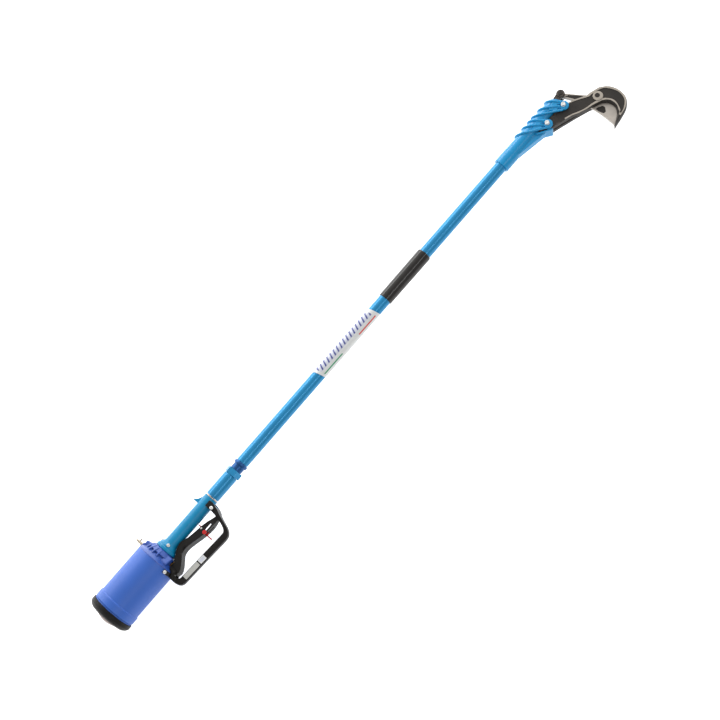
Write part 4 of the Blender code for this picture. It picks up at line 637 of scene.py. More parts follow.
def nipple():
    """The inlet's fitting, with its hexagon, hose barbs and bore for the key."""
    base, wide, middle, thin = 44.1, 3.7, 3.05, 2.1
    profile = [(-7, 1.2), (-7, 2.6), (0, 2.6), (0, wide), (1.2, wide), (1.2, 3.3), (4.6, 3.3), (5.4, wide)]
    profile += [(6, middle), (11.8, middle), (12.4, thin), (13.2, thin), (13.2, 2.7), (14.4, 2.2)]
    profile += [(14.6, 2.7), (15.8, 2.2), (16, 2.6), (17.2, 1.8), (17.2, 1.2)]
    fitting = lathe("inlet_nipple", [(base + y, r) for y, r in profile], 0.25, 48, "Y", (INLET_X, 0), 2)
    join(fitting, slab("hex", hexagon((INLET_X, 0), 6.9, 0), base + 1.3, base + 4.6, "Y", 0.3, 2))
    cut(fitting, pin("key_bore", 1.2, (INLET_X + 1.6, base + 9, 0), 10, "X", 0.05, 24))
    dress(fitting, NICKEL, "air_nipple")
    key = pin("tap_key", 0.9, (INLET_X + 2, base + 9, 0), 5.4, "X", 0.1, 24)
    neck = pin("tap_neck", 1.7, (INLET_X + 3.3, base + 9, 0), 3.4, "X", 0.3, 32)
    wing = block("wing", (INLET_X + 5.3, base + 7.7, -3.4), (INLET_X + 8.5, base + 10.3, 3.4), 0.9)
    dress(join(key, neck, wing), NICKEL, "inlet_tap_key", "tap")


def valve():
    """The turned body of the trigger's valve, with a flange at its foot."""
    profile = [(0, 3.2), (0, 7.3), (1, 8.3), (3.2, 8.3), (3.2, 6.2), (15.2, 6.2), (15.2, 3.2)]
    body = lathe("valve_flange", [(y - 32, r) for y, r in profile], 0.35, 64, "Y", (VALVE_X, 0))
    dress(body, BRASS, "valve_body")


# Handle


def handle_shell():
    """The handle's tube with its thin flange ring, its thumb rest and the lug for the guard."""
    x, end, room = HANDLE_X, HANDLE_FRONT, 11.3
    outline = [(x, room), (x, 21), (x + 6.3, 21), (x + 6.8, 20.6), (x + 9.1, 20.3), (x + 9.7, 19.6)]
    outline += [(x + 12.3, 17.6), (x + 15.1, 15.9), (x + 17.9, 14.8), (x + 21.3, HANDLE_R)]
    outline += [(end - 0.7, HANDLE_R), (end, HANDLE_R - 0.7), (end, ROD_ROOM), (x + 19, ROD_ROOM)]
    outline += [(x + 19, room)]
    tube = lathe("handle_tube", outline, 0.4, 128)
    flange = [(x, 12), (x, 22.6), (x + 0.9, 23.6), (x + 5.1, 23.6), (x + 6, 22.6), (x + 6, 12)]
    join(tube, lathe("flange", flange, 0.3, 128, "X", (-0.9, 0)))
    back, tip = 283.6, 27
    curve = [(2.2, tip - 1.6), (4.4, tip - 5), (7.8, tip - 8.4), (12.4, 16.2), (18, 14.2)]
    rest = [(back, 10), (back, tip - 0.8), (back + 0.9, tip)]
    rest += smooth([(back + along, y) for along, y in curve], 6) + [(back + 18, 10)]
    thumb_rest = slab("rest", rest, -4.2, 4.2, "Z", 1.3, 4)
    return join(tube, thumb_rest, block("lug", (290.6, -24, -9), (301.6, -10.6, 9), 1.5, 3))


def handle():
    body = handle_shell()
    holes = []
    for turn in FLANGE_TURNS:
        holes.append(turned(pin("hole", 3.8, (FLANGE_SCREW_X, 0, 12), 14, "Z", 0.1), turn))
    pocket = block("pocket", (255.6, -18.6, -3), (269.5, -9, 3), 0.5, 2)
    cut(body, pocket, through(LUG, 2.6), *holes)
    bevelled(body, 0.25, 2, 40)
    dress(body, HANDLE, "handle_body", angle=35)


def handle_screws():
    outline = [(12.2, 0), (12.2, 3.5), (19.3, 3.5), (20.3, 2.6), (20.3, 0)]
    for n, turn in enumerate(FLANGE_TURNS, 1):
        screw = lathe(f"flange_screw_{n}", outline, 0.3, 40, "Z", (FLANGE_SCREW_X, 0))
        cut(screw, slab("socket", hexagon((FLANGE_SCREW_X, 0), 3, 15), 18.2, 25))
        dress(turned(screw, turn), ZINC, f"handle_screw_{n}")


def coupling():
    """The pale ring and the sleeve, which has a fine groove near its rear end."""
    low, high, radius = HANDLE_FRONT + GAP, HANDLE_FRONT + 1.9, 14.3
    ring = [(low, ROD_ROOM), (low, radius), (high, radius), (high, ROD_ROOM)]
    dress(lathe("pale_ring", ring, 0.4, 96), BRONZE, "joint_washer")
    x, end, groove = SLEEVE_X, NUT_X - GAP, HANDLE_R - 0.25
    outline = [(x, ROD_ROOM), (x, HANDLE_R - 0.6), (x + 0.6, HANDLE_R), (x + 2, HANDLE_R), (x + 2.3, groove)]
    outline += [(x + 3, groove), (x + 3.3, HANDLE_R), (end - 2, HANDLE_R), (end, HANDLE_R - 0.6)]
    outline += [(end, 11.1), (SEAT_X, 11.1), (SEAT_X, ROD_ROOM)]
    dress(lathe("coupling_tube", outline, 0.35, 128), ANODISED, "coupling_sleeve")


def lock_nut():
    low, high = NUT_X, NECK_X - GAP
    nut = slab("lock_nut_body", hexagon((0, 0), 30, 3), low, high, "X")
    crown = [(low, 0), (low, 16.4), (low + 1.3, 17.4), (high - 1.3, 17.4), (high, 16.4), (high, 0)]
    boolean(nut, [lathe("crown", crown, 0.2, 96)], "INTERSECT")
    cut(nut, pin("bore", 11.1, (low - 6.7, 0, 0), 30, "X", 0.1, 64))
    bevelled(nut, 0.35, 3, 28)
    dress(nut, ANODISED, "lock_nut")


def end_fitting():
    """The pole's end fitting: a spigot at each end, a neck with a fine groove and a rounded collar."""
    rear, front, neck, length = SEAT_X + GAP, POLE_X + 29.7, 12.3, 7.7
    angles = [pi * n / 10 for n in range(11)]
    collar = [(COLLAR_X + length * (1 - cos(a)) / 2, neck + 2.7 * sin(a)) for a in angles]
    outline = [(rear, ROD_ROOM), (rear, 10.8), (NECK_X, 10.8), (NECK_X, neck), (NECK_X + 6.3, neck)]
    outline += [(NECK_X + 6.6, neck - 0.3), (NECK_X + 7.4, neck - 0.3), (NECK_X + 7.7, neck)] + collar
    outline += [(COLLAR_X + length, 11.1), (front, 11.1), (front, ROD_ROOM)]
    fitting = lathe("end_fitting", outline, 0.3, 112)
    dress(fitting, DARK_ANODISED, "pole_end_fitting")


# Pole


def pole():
    tube = [(POLE_X, 11.4), (POLE_X, POLE_R), (POLE_FRONT, POLE_R), (POLE_FRONT, 11.4)]
    dress(lathe("tube", tube, 0.25, 112), ANODISED, "pole_tube")


def grip():
    """The glossy sleeve, a little wider towards its front end."""
    x, end, inner, rim = GRIP_X, GRIP_FRONT, POLE_R + GAP, 14.2
    outline = [(x, inner), (x, rim), (x + 1, 14.8), (end - 2.4, 15.4), (end - 0.8, 15.1), (end, rim)]
    outline += [(end, inner)]
    dress(lathe("grip_tube", outline, 0.5, 112), GRIP, "grip_sleeve")


def print_of(along, turn):
    """Which print lies at a share of the label's length and at degrees from its middle."""
    ground, blue, pale, green, red = range(5)
    edge = min(turn + 74, 4 - turn)
    if edge > 0 and 0.035 < along < 0.955:
        if edge > 6 and (along + turn * 0.0009) % 0.0575 < 0.021:
            return blue
        return pale if edge > 2 else ground
    if 27 < turn < 40 and 0.03 < along < 0.36:
        return green
    if 27 < turn < 40 and 0.66 < along < 0.96:
        return red
    return ground


def pole_label():
    """The film round the tube, slanted at its ends, with plain printed stripes."""
    start, length, slant, middle, half = 628.1, 167, 6, 20, 100
    inner, outer, rows, columns = POLE_R + GAP, POLE_R + 0.56, 96, 190
    lines = []
    for n in range(rows + 1):
        share = 2 * n / rows - 1
        turn = radians(middle + half * share)
        places = [start + slant * share + length * k / columns for k in range(columns + 1)]
        line = [(x, outer) for x in places] + [(x, inner) for x in places[::-1]]
        lines.append([(x, -radius * sin(turn), radius * cos(turn)) for x, radius in line])
    film = loft("label_film", lines)
    for material in (WHITE_FILM, BLUE_FILM, PALE_FILM, GREEN_FILM, RED_FILM):
        film.data.materials.append(material)
    for face in film.data.polygons:
        x, y, z = face.center / MM
        if hypot(y, z) > outer - 0.05:
            turn = degrees(atan2(-y, z)) - middle
            face.material_index = print_of((x - start - slant * turn / half) / length, turn)
    dress(film, WHITE_FILM, "pole_label", weighted=False)


# Trigger guard

# The guard's run from the casting round to the handle: x, y, half its thickness and half its width
GUARD_RUN = [
    (146.9, -44.7, 4.1, 13.5),
    (146.9, -51.8, 4.4, 12.5),
    (147.3, -57.8, 5.2, 8.5),
    (149.5, -64.5, 6.2, 7),
    (154.7, -67.7, 6.8, 5.5),
    (164.7, -68.4, 6.6, 5.5),
    (199.7, -69.9, 6.6, 5.5),
    (239.7, -71.7, 6.6, 5.5),
    (268, -73, 6.6, 5.8),
    (277, -70.4, 5.2, 5.9),
    (282.3, -64.4, 4, 6.7),
    (285.9, -55.8, 3.4, 8.3),
    (289, -46, 3.3, 10),
    (291.9, -36, 4, 12.2),
    (295.1, -26, 5.5, 17.1),
    (296.7, -14, 6.8, 17.6),
    (296.7, -6.6, 6.6, 17.6),
]


def guard_section(at, direction):
    """A rectangle with rounded corners, square to the guard's run."""
    x, y, thick, wide = at
    side = Vector((-direction.y, direction.x, 0)).normalized()
    corners = rounded([(thick, wide), (-thick, wide), (-thick, -wide), (thick, -wide)], 1.7)
    return [Vector((x, y, 0)) + side * a + Vector((0, 0, b)) for a, b in corners]


def trigger_guard():
    run = smooth(GUARD_RUN, 5)
    guard = loft("guard_frame", [guard_section(at, heading(run, n)) for n, at in enumerate(run)])
    sector = arc((0, 0), 47.5, 140, 220, 28) + arc((0, 0), 43.8, 220, 140, 28)
    saddle = slab("saddle", sector, 143, 150.8, "X", 0.9)
    cheek = [(146.8, -46.3), (146.8, -53.5), (155, -51.5), (160, -50), (161.8, -46), (161.8, -35.4)]
    cheek += [(160.5, -34.4), (158.3, -34.4), (151.9, -43), (151.5, -46.3)]
    cheeks = [slab("cheek", rounded(cheek, 1.2), low, low + 3.2, "Z", 0.7) for low in (11.4, -14.6)]
    join(guard, saddle, *cheeks)
    cut(
        guard,
        block("lever_room", (266.7, -46.6, -6.6), (291.5, -9.6, 6.6), 0.8, 2),
        block("lug_room", (266.7, -24.3, -9.3), (326.7, -9.6, 9.3)),
        pin("tube_room", HANDLE_R + GAP, (266, 0, 0), 60, "X", 0.1, 96),
        through(PIN, 2.8),
        through(LUG, 2.6),
    )
    dress(guard, PLASTIC, "trigger_guard", angle=38)


def pan_screw(name, centre, low, high):
    """A pan-headed screw along Z with a cross recess. Its head stands on the height high."""
    radius, head = 2.3, 3.7
    outline = [(low, 0), (low, radius), (high, radius), (high, head - 0.1), (high + 0.5, head)]
    outline += [(high + 1.4, head - 0.5), (high + 2.2, head * 0.55), (high + 2.2, 0)]
    screw = lathe(name, outline, 0.35, 40, "Z", centre)
    slots = []
    for a, b in ((head * 0.52, 0.45), (0.45, head * 0.52)):
        start = (centre[0] - a, centre[1] - b, high + 1.5)
        slots.append(block("slot", start, (centre[0] + a, centre[1] + b, high + 4.5)))
    return cut(screw, *slots)


def guard_screws():
    """The front screw through the lug, the two rear ones in the casting and the trigger's pin."""
    dress(pan_screw("guard_screw_front", LUG, -15.6, 17.9), ZINC, "guard_front_screw")
    for n, angle in enumerate((53, 127), 1):
        screw = pan_screw(f"guard_screw_rear_{n}", (146.7, 0), 34, 47.8)
        dress(turned(screw, angle), ZINC, f"guard_rear_screw_{n}")
    dress(pin("trigger_pivot", 2.5, (*PIN, -14.1), 28.2, "Z", 0.4, 40), FORGING, "trigger_pin")


def guard_height(run, x):
    """The height of the guard's middle line at a place along the bar."""
    for first, second in zip(run[10:], run[11:]):
        if first.x <= x <= second.x:
            return first.y + (second.y - first.y) * (x - first.x) / (second.x - first.x)
    return run[-1].y


def film_outline(run, start, length, inset, half):
    """A strip along the guard's bar, held in from its ends."""
    first, last = guard_height(run, start), guard_height(run, start + length)
    low, high = start + inset, start + length - inset
    return [(low, first - half), (high, last - half), (high, last + half), (low, first + half)]


def guard_films():
    """A grey film, and a white one with a pale patch."""
    run = smooth(GUARD_RUN, 5)
    long, short = (161.9, 38), (202.4, 15.2)
    grey = slab("guard_film_long", rounded(film_outline(run, *long, 0, 5), 0.8), 5.55, 6.05)
    dress(grey, GREY_FILM, "guard_label_long", weighted=False)
    white = slab("guard_film_short", rounded(film_outline(run, *short, 0, 5), 0.8), 5.55, 6.05)
    patch = slab("patch", film_outline(run, *short, 2, 3.2), 5.95, 6.2)
    patch.data.materials.append(PALE_FILM)
    dress(cut(white, patch), WHITE_FILM, "guard_label_short", weighted=False)


# Trigger lever and catch

# The lever's run from its pin to its tip: x, the height of its lower edge and of its upper edge
LEVER_RUN = [
    (176, -47.6, -28.6),
    (185, -40.2, -24),
    (193.5, -34, -19),
    (206, -32.4, -16),
    (221.5, -35.2, -20.5),
    (240, -39.7, -24),
    (256, -42.5, -26.2),
    (272, -43.3, -30),
    (286, -42.1, -33),
    (289.5, -41.6, -33.6),
]


def lever_shape(run):
    """The lever's side view, with its heel round the pin."""
    outline = [(153.5, -51.2), (156.5, -53), (162.5, -54.2), (168, -52.5)]
    outline += [(at.x, at.y) for at in run] + [(at.x, at.z) for at in run[::-1]]
    outline += [(170, -33.4), (160, -33.4), (158.3, -36.4)] + arc(PIN, 4.6, 90, 215, 14)
    return slab("lever_body", outline, -11, 11)


def lever_pockets(run):
    """The channel under the lever, the sunk webs of its sides and its narrower tip."""
    channel = [(176, -4.6)] + [(at.x, at.y + 2.5) for at in run if at.x < 273]
    channel += [(273, channel[-1][1]), (273, -4.6)]
    tools = [slab("channel", channel, -8.5, 8.5)]
    web = [(at.x, at.y + 1.5) for at in run] + [(at.x, at.z - 1.5) for at in run[::-1]]
    web = rounded([place for place in web if place[0] > 182], 0.8, 2)
    tools += [slab("web", web, low, low + 1.5) for low in (10.5, -12)]
    for side in (-1, 1):
        taper = [(269.3, 11), (284.2, 6.2), (290.6, 6.2), (290.6, 13), (269.3, 13)]
        tools.append(slab("taper", [(x, z * side) for x, z in taper], -60, 0, "Y"))
    return tools


def lever():
    run = smooth(LEVER_RUN, 6)
    body = lever_shape(run)
    recess = rounded([(197.2, -31), (206.5, -31), (208.8, -28.6), (205, -27), (198.5, -29.2)], 0.8)
    cut(
        body,
        *lever_pockets(run),
        block("neck_slot", (249.7, -39.55, 5.5), (271.3, -36.45, 12), 0.6, 2),
        block("far_window", (254, -33, -12), (273, -27.5, -7.5)),
        block("web_slot", (247.1, -53, -1.8), (269.9, -34, 1.8)),
        slab("recess", recess, 8.9, 12),
        through(RIVET, 2.1),
        through(PIN, 2.8),
    )
    bevelled(body, 0.4, 2, 35)
    dress(body, PLASTIC, "trigger_lever", "trigger", 38)
    for n, low in enumerate((8.5, -11.4), 1):
        rivet = pin(f"rivet_{n}", 1.8, (*RIVET, low), 2.9, "Z", 0.6)
        dress(rivet, ZINC, f"lever_rivet_{n}", "trigger")


def catch():
    """The red safety catch: a plate in the lever's slot, and a ribbed button on a neck."""
    x, y = CATCH
    edge = [(1.5, 21.2), (3.9, 21.2), (3.9, 4), (4.2, 3.6), (4.2, -6.4), (-0.6, -7.2), (-0.6, -18.4)]
    edge += [(-1.2, -19), (-3, -19), (-3, -7.2), (-3.8, -6.4), (-3.8, 3.6), (1.5, 5.6)]
    plate = slab("catch_plate", rounded([(x + a, y + b) for a, b in edge], 0.9), -1.5, 1.5, "Z", 0.45)
    neck = pin("neck", 1.1, (x, y, 0), 12.4, "Z", 0.1, 24)
    button = pin("button", 4.3, (x, y - 2, 11.3), 2.3, "Z", 0.9, 48)
    lines = [y - 2 + step for step in (-1.6, 0, 1.6)]
    cut(button, *[block("groove", (x - 5, at - 0.25, 13.2), (x + 5, at + 0.25, 15)) for at in lines])
    join(plate, neck, button)
    dress(plate, RED, "safety_catch", "catch")


# Head bracket

# Each rib's crest and its end on the lobe, from its bolt, and how far it comes down the lobe
RIBS = [
    (-57.2, -9.8, -24.6),
    (-35.6, -6.5, -16.8),
    (-17.5, 1, -12.6),
    (-56.6, -9.8, -27),
    (-36.1, -6.5, -17.6),
    (-13.9, 1.6, -12.4),
]


def rib_path(crest, end_x, end_y, count=26):
    """A rib's centreline from the far lobe over the bracket's top to the near lobe."""
    radius = 17.36
    quarter = radius * pi / 2
    reach = quarter - end_y
    slant = radians(125)
    points = []
    for n in range(-count, count + 1):
        along = reach * abs(n) / count
        angle = min(along, quarter) / radius
        y = radius * cos(angle) - max(along - quarter, 0)
        z = radius * sin(angle)
        shift = (1 - cos(slant * along / reach)) / (1 - cos(slant))
        points.append((crest + (end_x - crest) * shift, y, z if n > 0 else -z))
    return points


def bracket_pieces():
    """The gusset, the thin cradle under the plates, two lobes a side and six ribs."""
    lip = BRACKET_X + 33
    gusset = [(lip - 4, -6), (lip + 1.5, -14.4), (1295.6, -27.2), (1301.2, -28.8), (1301.2, -6)]
    cradle = [(1284, -12.8), (1293.2, -19), (1314.5, -33.4), (1316, -35.6), (1312, -36.4)]
    cradle += [(1300.6, -27.4), (1286, -18)]
    pieces = [slab("gusset", gusset, -9, 9, "Z", 1.2), slab("cradle", cradle, -13.6, 13.6, "Z", 0.8, 2)]
    for x in BOLTS:
        lobe = [(x - 29, -4), (x - 9, 1), (x + 3, -6)] + arc((x, BOLT_Y - 1), 10.4, 18, -135, 20)
        for low, high in ((-LOBE_OUTER, 1 - LOBE_INNER), (LOBE_INNER - 1, LOBE_OUTER)):
            pieces.append(slab("lobe", lobe, low, high, "Z", 1.2))
    for n, (crest, end, drop) in enumerate(RIBS):
        x = BOLTS[n // 3]
        pieces.append(bar("rib", rib_path(x + crest, x + end, drop), 2.42, 18))
    return pieces


def bracket_pockets():
    """Pointed pockets between the ribs and the bolts, two at each bolt and side."""
    along, across = Vector((0.64, -0.77)) * 5.2, Vector((0.77, 0.64)) * 1.7
    pockets = []
    for n, (aside, above) in enumerate([(-6.4, 7.8), (-12.4, 2), (-5.4, 7.2), (-12.8, 1.4)]):
        middle = Vector((BOLTS[n // 2] + aside, BOLT_Y + above))
        far = middle + along
        shape = [middle - along, middle - across, far - across, far + across, middle + across]
        for low, high in ((14.7, 26), (-26, -14.7)):
            pockets.append(slab("pocket", rounded(shape, 0.8), low, high))
    return pockets


def bracket():
    x, lip, front = BRACKET_X, BRACKET_X + 33, BRACKET_FRONT
    outline = [(x, 0), (x, 16), (x + 0.8, 16.6), (lip, 16.6), (lip + 3, 16), (front + 12, 15.8)]
    body = lathe("bracket_body", outline + [(front + 12, 0)], 0.8, 96)
    join(body, *bracket_pieces())
    half, end = 40, front + 120
    slanted = [(front - 20, half), (front + 20, -half), (end, -half), (end, half)]
    plate_slot = [(1290, -15.3), (1420, -15.3), (1420, -60), (1330, -43), (1314.6, -32.6)]
    plate_slot += [(1290, -16.4)]
    cut(
        body,
        *bracket_pockets(),
        slab("slanted_end", slanted, -half, half),
        pin("channel", 12.7, (x - 2, 0, 0), 240, "X", 0.1, 64),
        pin("mouth", 14.2, (front - 36, 0, 0), 80, "X", 0.1, 64),
        slab("plate_slot", plate_slot, -13.35, 13.35),
    )
    cast(body, 0.55, 0.5)
    cut(body, pin("socket", POLE_R + GAP, (x - 10, 0, 0), 55.3, "X", 0.1, 96), *bolt_holes())
    dress(body, PAINT, "head_bracket", angle=50, weighted=False)


def bolt_holes():
    return [through((x, BOLT_Y), 3.3) for x in BOLTS]


def bracket_bolt(number, centre):
    """A bolt with a low, dished hexagon head, and its nut."""
    face = LOBE_OUTER + GAP
    shank = [(-24, 0), (-24, 3), (face, 3), (face, 4.9), (face + 0.9, 4.9), (face + 1.2, 3.8)]
    bolt = lathe(f"hex_bolt_{number}", shank + [(face + 1.2, 0)], 0.3, 48, "Z", centre)
    head = slab("head", hexagon(centre, 8.2, 12), face + 1, face + 5)
    dome = [(face, 0), (face, 4.7), (face + 4, 4.7), (face + 5, 3.9), (face + 5, 0)]
    boolean(head, [lathe("dome", dome, 0.3, 48, "Z", centre)], "INTERSECT")
    join(bolt, head)
    dish = [(face + 4.4, 0), (face + 4.4, 2.2), (face + 6, 3.2), (face + 6, 0)]
    cut(bolt, lathe("dish", dish, 0.2, 32, "Z", centre))
    bevelled(bolt, 0.2, 2, 35)
    dress(bolt, ZINC, f"bracket_bolt_{number}")
    nut = slab(f"hex_nut_{number}", hexagon(centre, 9, 25), -face - 4.5, -face)
    cut(nut, through(centre, 3.3))
    bevelled(nut, 0.4, 2, 35)
    dress(nut, ZINC, f"bracket_nut_{number}")


# Cutting head, with outlines from the pivot

# The hook plate's own edges. Its mouth and its crest are each a curve at the blade and another at
# the near face, where the plate is smaller all round.
HOOK_REAR = [(-132.5, 43.5), (-111, 29), (-80, 18), (-65, 12.5), (-51.5, 4.5), (-37, -2), (-24.5, -5.5)]
MOUTH_LOW = [(-19, -9.5), (-5, -16), (3.5, -28), (3, -43), (-4.5, -53), (-12.5, -58.5), (-32, -68)]
MOUTH_TOP = [(-17.5, -8), (-1, -16.5), (7, -28.5), (6, -43.5), (0, -53), (-6.5, -60), (-34, -70.5)]
CREST_LOW = [(-36, -72), (-22, -70), (-8, -68), (13, -63), (30, -50.5), (36.5, -32)]
CREST_LOW += [(35, -16.5), (29, -3), (17.5, 9)]
CREST_TOP = [(-35.5, -71.5), (-22, -67), (-8, -65.5), (12.5, -61.5), (29, -50), (35, -32)]
CREST_TOP += [(34, -16.5), (28.5, -3), (17, 9)]
HOOK_UPPER = [(-3.5, 16), (-12, 17.5), (-20.5, 23), (-33, 31), (-48.5, 38.5), (-77.5, 45.4), (-130, 45.4)]

# The sunk panel in the hook plate: its straight rear part, its edge along the mouth and its edge
# along the crest
PANEL_REAR = [(-138, 48.5), (-138, 38), (-112, 21), (-85, 14)]
PANEL_MOUTH = [(-78, 21), (-63, 15), (-50, 7.5), (-36.5, 1.5), (-14.5, -4.5), (2.5, -13.5)]
PANEL_MOUTH += [(11.5, -34), (2.5, -55.5), (-4.5, -59.5)]
PANEL_CREST = [(-3.5, -63), (9.5, -59.5), (25, -48.5), (31.5, -28.5), (25, -6), (15.5, 4), (-4, 11)]
PANEL_CREST += [(-13, 13), (-33.5, 27.5), (-50, 36), (-72, 48.5)]


def at_pivot(points):
    return [PIVOT + Vector(p) for p in points]


def shifted(points, amount):
    """A closed line moved inwards."""
    count = len(points)
    area = sum(points[n - 1].cross(points[n]) for n in range(count))
    found = []
    for n, point in enumerate(points):
        along = points[(n + 1) % count] - points[n - 1]
        inward = Vector((-along.y, along.x)).normalized() * (1 if area > 0 else -1)
        found.append(point + inward * amount)
    return found


def tiers(name, levels):
    """A solid through closed lines at several heights."""
    return loft(name, [[(p.x, p.y, height) for p in line] for height, line in levels])


def hook_line(mouth, crest):
    return at_pivot(HOOK_REAR + smooth(mouth, 7) + smooth(crest, 7) + HOOK_UPPER)


def ground_top(plate):
    """Bright ground metal on the upper face, and blackened metal elsewhere."""
    mesh = plate.data
    mesh.materials.clear()
    mesh.materials.append(FORGING)
    mesh.materials.append(GROUND)
    for face in mesh.polygons:
        face.material_index = int(face.normal.z > 0.8 and face.center.z > 12.6 * MM)


def hook():
    """The near plate: a sloped bright rim, a ring round the pivot and two sunk panels."""
    low = hook_line(MOUTH_LOW, CREST_LOW)
    top = hook_line(MOUTH_TOP, CREST_TOP)
    levels = [(3.3, shifted(low, 0.3)), (3.6, low), (6.5, low), (12.7, top), (13, shifted(top, 0.3))]
    plate = tiers("hook_plate_body", levels)
    ring_at = PIVOT + Vector((-0.2, -1.7))
    join(plate, pin("boss", 10.6, (*ring_at, 4), 9.8, "Z", 0.4, 72))
    panel = at_pivot(PANEL_REAR + smooth(PANEL_MOUTH, 5) + smooth(PANEL_CREST, 5))
    panel = slab("panel", panel, 12.1, 16)
    cut(panel, pin("keep", 10.7, (*ring_at, 11), 7, "Z", 0.1, 72))
    tip = slab("tip", at_pivot([(-8.6, -58), (-8.6, -70), (-42, -78), (-42, -64)]), 12.55, 16)
    cut(plate, panel, tip)
    cut(plate, through(PIVOT, 5.2, 64), *bolt_holes())
    ground_top(plate)
    dress(plate, FORGING, "hook_plate", angle=40, weighted=False)


def cheek():
    """The far plate, round the pivot where the near one has its hook."""
    lower = [(-132.5, 43.5), (-110.9, 29.2), (-54.5, 9.8), (-26.5, -1)]
    upper = [(-15.5, 16.6), (-48.5, 37), (-77.5, 45.4), (-130, 45.4)]
    outline = at_pivot(lower + arc((0, 0), 15.3, -140, 95, 36) + upper)
    plate = slab("cheek_plate_body", outline, -PLATE_OUTER, -PLATE_INNER, "Z", 0.9)
    cut(plate, through(PIVOT, 5.2, 64), *bolt_holes())
    dress(plate, FORGING, "cheek_plate", angle=35)


def pivot_set():
    """The pivot's bolt, with its nut beyond the far plate's washer."""
    thick, washer = 5.5, 1.2
    low = -PLATE_OUTER - GAP - washer - GAP - thick
    bolt = pin("pivot_bolt", 4.9, (*PIVOT, low - 1.2), 15.6 - low, "Z", 0.7, 64)
    dress(bolt, FORGING, "pivot_pin")
    nut = slab("pivot_hex", hexagon(PIVOT, 13, 20), low, low + thick)
    cut(nut, through(PIVOT, 5.2, 48))
    bevelled(nut, 0.5, 2, 35)
    dress(nut, ZINC, "pivot_nut")


def blade():
    cutting = [(8.5, -14.5), (10.8, -22.5), (12.8, -33), (13.2, -42.5), (8, -54.5), (-3.5, -62.2)]
    cutting += [(-16, -65.4), (-29.7, -67)]
    back = [(-27, -61.7), (-24.6, -36), (-24.3, -12.5), (-26.2, 4), (-30, 20), (-34.5, 42)]
    back += [(-40.8, 58)]
    tail = arc(TAIL - PIVOT, 7.2, 190, -25, 26) + [(-19, 40.5), (-6.8, 19.7)]
    outline = at_pivot(smooth(back, 5) + tail + arc((0, 0), 13, 60, -55, 20) + smooth(cutting, 5))
    edge = shifted(outline, 0.35)
    body = tiers("blade_body", [(-3, edge), (-2.65, outline), (2.65, outline), (3, edge)])
    recess = [(-22.2, -12.6), (-16, -14.6), (-8, -20), (-7.6, -25.4), (-14.6, -33.2), (-20.4, -32.6)]
    recess += [(-22.6, -22)]
    arm = [(-25, 24), (-12.8, 24.5), (-20.4, 38.6), (-28.5, 51), (-36.5, 56.5), (-31.2, 42)]
    pockets = []
    for low, high in ((2.2, 6), (-6, -2.2)):
        for shape, fillet in ((recess, 1.8), (arm, 1.5)):
            pocket = slab("pocket", rounded(at_pivot(shape), fillet, 4), low, high)
            pocket.data.materials.append(FORGING)
            pockets.append(pocket)
    cut(body, *pockets)
    cut(body, through(PIVOT, 7.1, 64), through(TAIL, 3.3))
    dress(body, BLADE, "blade", "cutter", 40, False)


def link():
    """The link, forked at both ends, and its front pin."""
    along = (EYE - TAIL).normalized()
    across = Vector((-along.y, along.x))
    lean = degrees(atan2(along.y, along.x))

    def laid(places):
        return [TAIL + along * a + across * b for a, b in places]

    neck = laid([(21, 5.5)]) + arc(TAIL, 9, lean - 118, lean - 242, 28)[::-1]
    neck += laid([(21, -5.5), (30, -4.6), (30, 4.6)])
    shaft = laid([(18, 4.6), (18, -4.6)]) + arc(EYE, 4.6, lean - 90, lean + 90, 20)
    body = slab("link_body", shaft, -6.2, 6.2, "Z", 0.8)
    join(body, slab("neck", neck, -7.5, 7.5, "Z", 1), pin("disc", 8.8, (*TAIL, -9.4), 18.8, "Z", 1.2, 64))
    slots = []
    for low, high in ((12.5, -20), (LINK - 14.5, LINK + 20)):
        slots.append(slab("slot", laid([(low, 20), (high, 20), (high, -20), (low, -20)]), -3.4, 3.4))
    cut(body, *slots, through(TAIL, 3.3), through(EYE, 2.8))
    bevelled(body, 0.3, 2, 40)
    dress(body, FORGING, "drive_link", "link", 38)
    outline = [(-10.2, 0), (-10.2, 3), (9.7, 3), (9.7, 5), (10.3, 5.1), (11.1, 4.4), (11.1, 0)]
    dress(lathe("link_pin", outline, 0.4, 48, "Z", TAIL), FORGING, "link_front_pin", "link")


# The solids that stay get their finish

STAYING = {
    SEAL: ("rear_plug_seal", "rod_seal", "piston_seal"),
    BRASS: ("rod_bush", "blade_bush"),
    STEEL: ("valve_plunger", "valve_spring", "piston_rod", "pull_rod", "link_rear_pin"),
    ALUMINIUM: ("piston",),
    ZINC: ("rod_joint", "pivot_washer"),
    NYLON: ("rod_guide_1", "rod_guide_2"),
    FORGING: ("plate_spacer",),
}


def staying_solids():
    for material, names in STAYING.items():
        for name in names:
            for slot in NODES[name].material_slots:
                slot.material = material


# Stage, light and camera


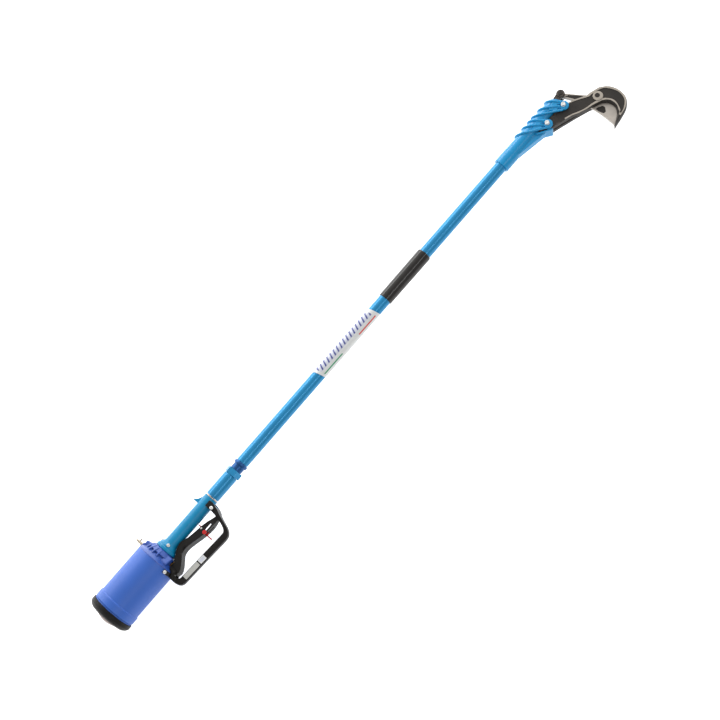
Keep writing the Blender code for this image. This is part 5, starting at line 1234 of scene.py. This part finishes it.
def pale_floor():
    """A pale floor that glows more towards +Y."""
    bpy.ops.mesh.primitive_plane_add(size=14, location=(MIDDLE_X, 0, CAD_LOW.z - 0.0002))
    floor = bpy.context.object
    floor.name = "floor"
    made, tree, shader = new_material("pale_floor")
    place = node(tree, "SeparateXYZ", {"Vector": node(tree, "TexCoord").outputs["Object"]})
    glow = spread(tree, place.outputs["Y"], -0.12, 0.2, 0.62, 1.9)
    feed(shader, {"Base Color": (0.68,) * 3, "Roughness": 0.9, "Specular IOR Level": 0.1})
    feed(shader, {"Emission Color": (1, 1, 1), "Emission Strength": glow})
    floor.data.materials.append(made)


def studio():
    """A white surround, brighter towards +X, +Y and -Z."""
    world = bpy.data.worlds.new("studio")
    SCENE.world = world
    world.use_nodes = True
    tree = world.node_tree
    towards = {0: node(tree, "TexCoord").outputs["Generated"], 1: (0.38, 0.7, -0.55)}
    share = node(tree, "VectorMath", towards, operation="DOT_PRODUCT").outputs["Value"]
    light = spread(tree, share, -0.55, 0.75, 0.45, 1.8)
    feed(tree.nodes["Background"], {"Color": (1, 1, 1), "Strength": light})


def area_light(name, place, length, width, power):
    """A long lamp, laid along the tool, that shines at its middle."""
    lamp = bpy.data.lights.new(name, "AREA")
    lamp.shape = "RECTANGLE"
    lamp.size = length
    lamp.size_y = width
    lamp.energy = power
    obj = bpy.data.objects.new(name, lamp)
    SCENE.collection.objects.link(obj)
    back = (Vector(place) - Vector((MIDDLE_X, 0, 0))).normalized()
    up = back.cross(Vector((1, 0, 0))).normalized()
    obj.matrix_world = Matrix((up.cross(back), up, back)).transposed().to_4x4()
    obj.location = place


def camera():
    """The photograph's own view."""
    lens = bpy.data.cameras.new("photo_camera")
    lens.sensor_width = 36
    lens.lens = 65
    lens.clip_end = 30
    obj = bpy.data.objects.new("photo_camera", lens)
    SCENE.collection.objects.link(obj)
    obj.location = (0.394, -0.9155, 2.393)
    obj.rotation_euler = [radians(turn) for turn in (18.359, 10.606, -48.499)]
    SCENE.camera = obj


camera()
end_plug()
cap_ring()
barrel()
front_casting()
nipple()
valve()
handle()
handle_screws()
coupling()
lock_nut()
end_fitting()
pole()
grip()
pole_label()
trigger_guard()
guard_screws()
guard_films()
lever()
catch()
bracket()
for number, bolt_x in enumerate(BOLTS, 1):
    bracket_bolt(number, (bolt_x, BOLT_Y))
hook()
cheek()
pivot_set()
blade()
link()
staying_solids()
pale_floor()
studio()
area_light("key", (1.25, 1.9, 1), 3.4, 0.8, 30)
area_light("fill", (MIDDLE_X, -1.06, 1.46), 2.6, 0.12, 7)
SCENE.view_settings.view_transform = "Standard"
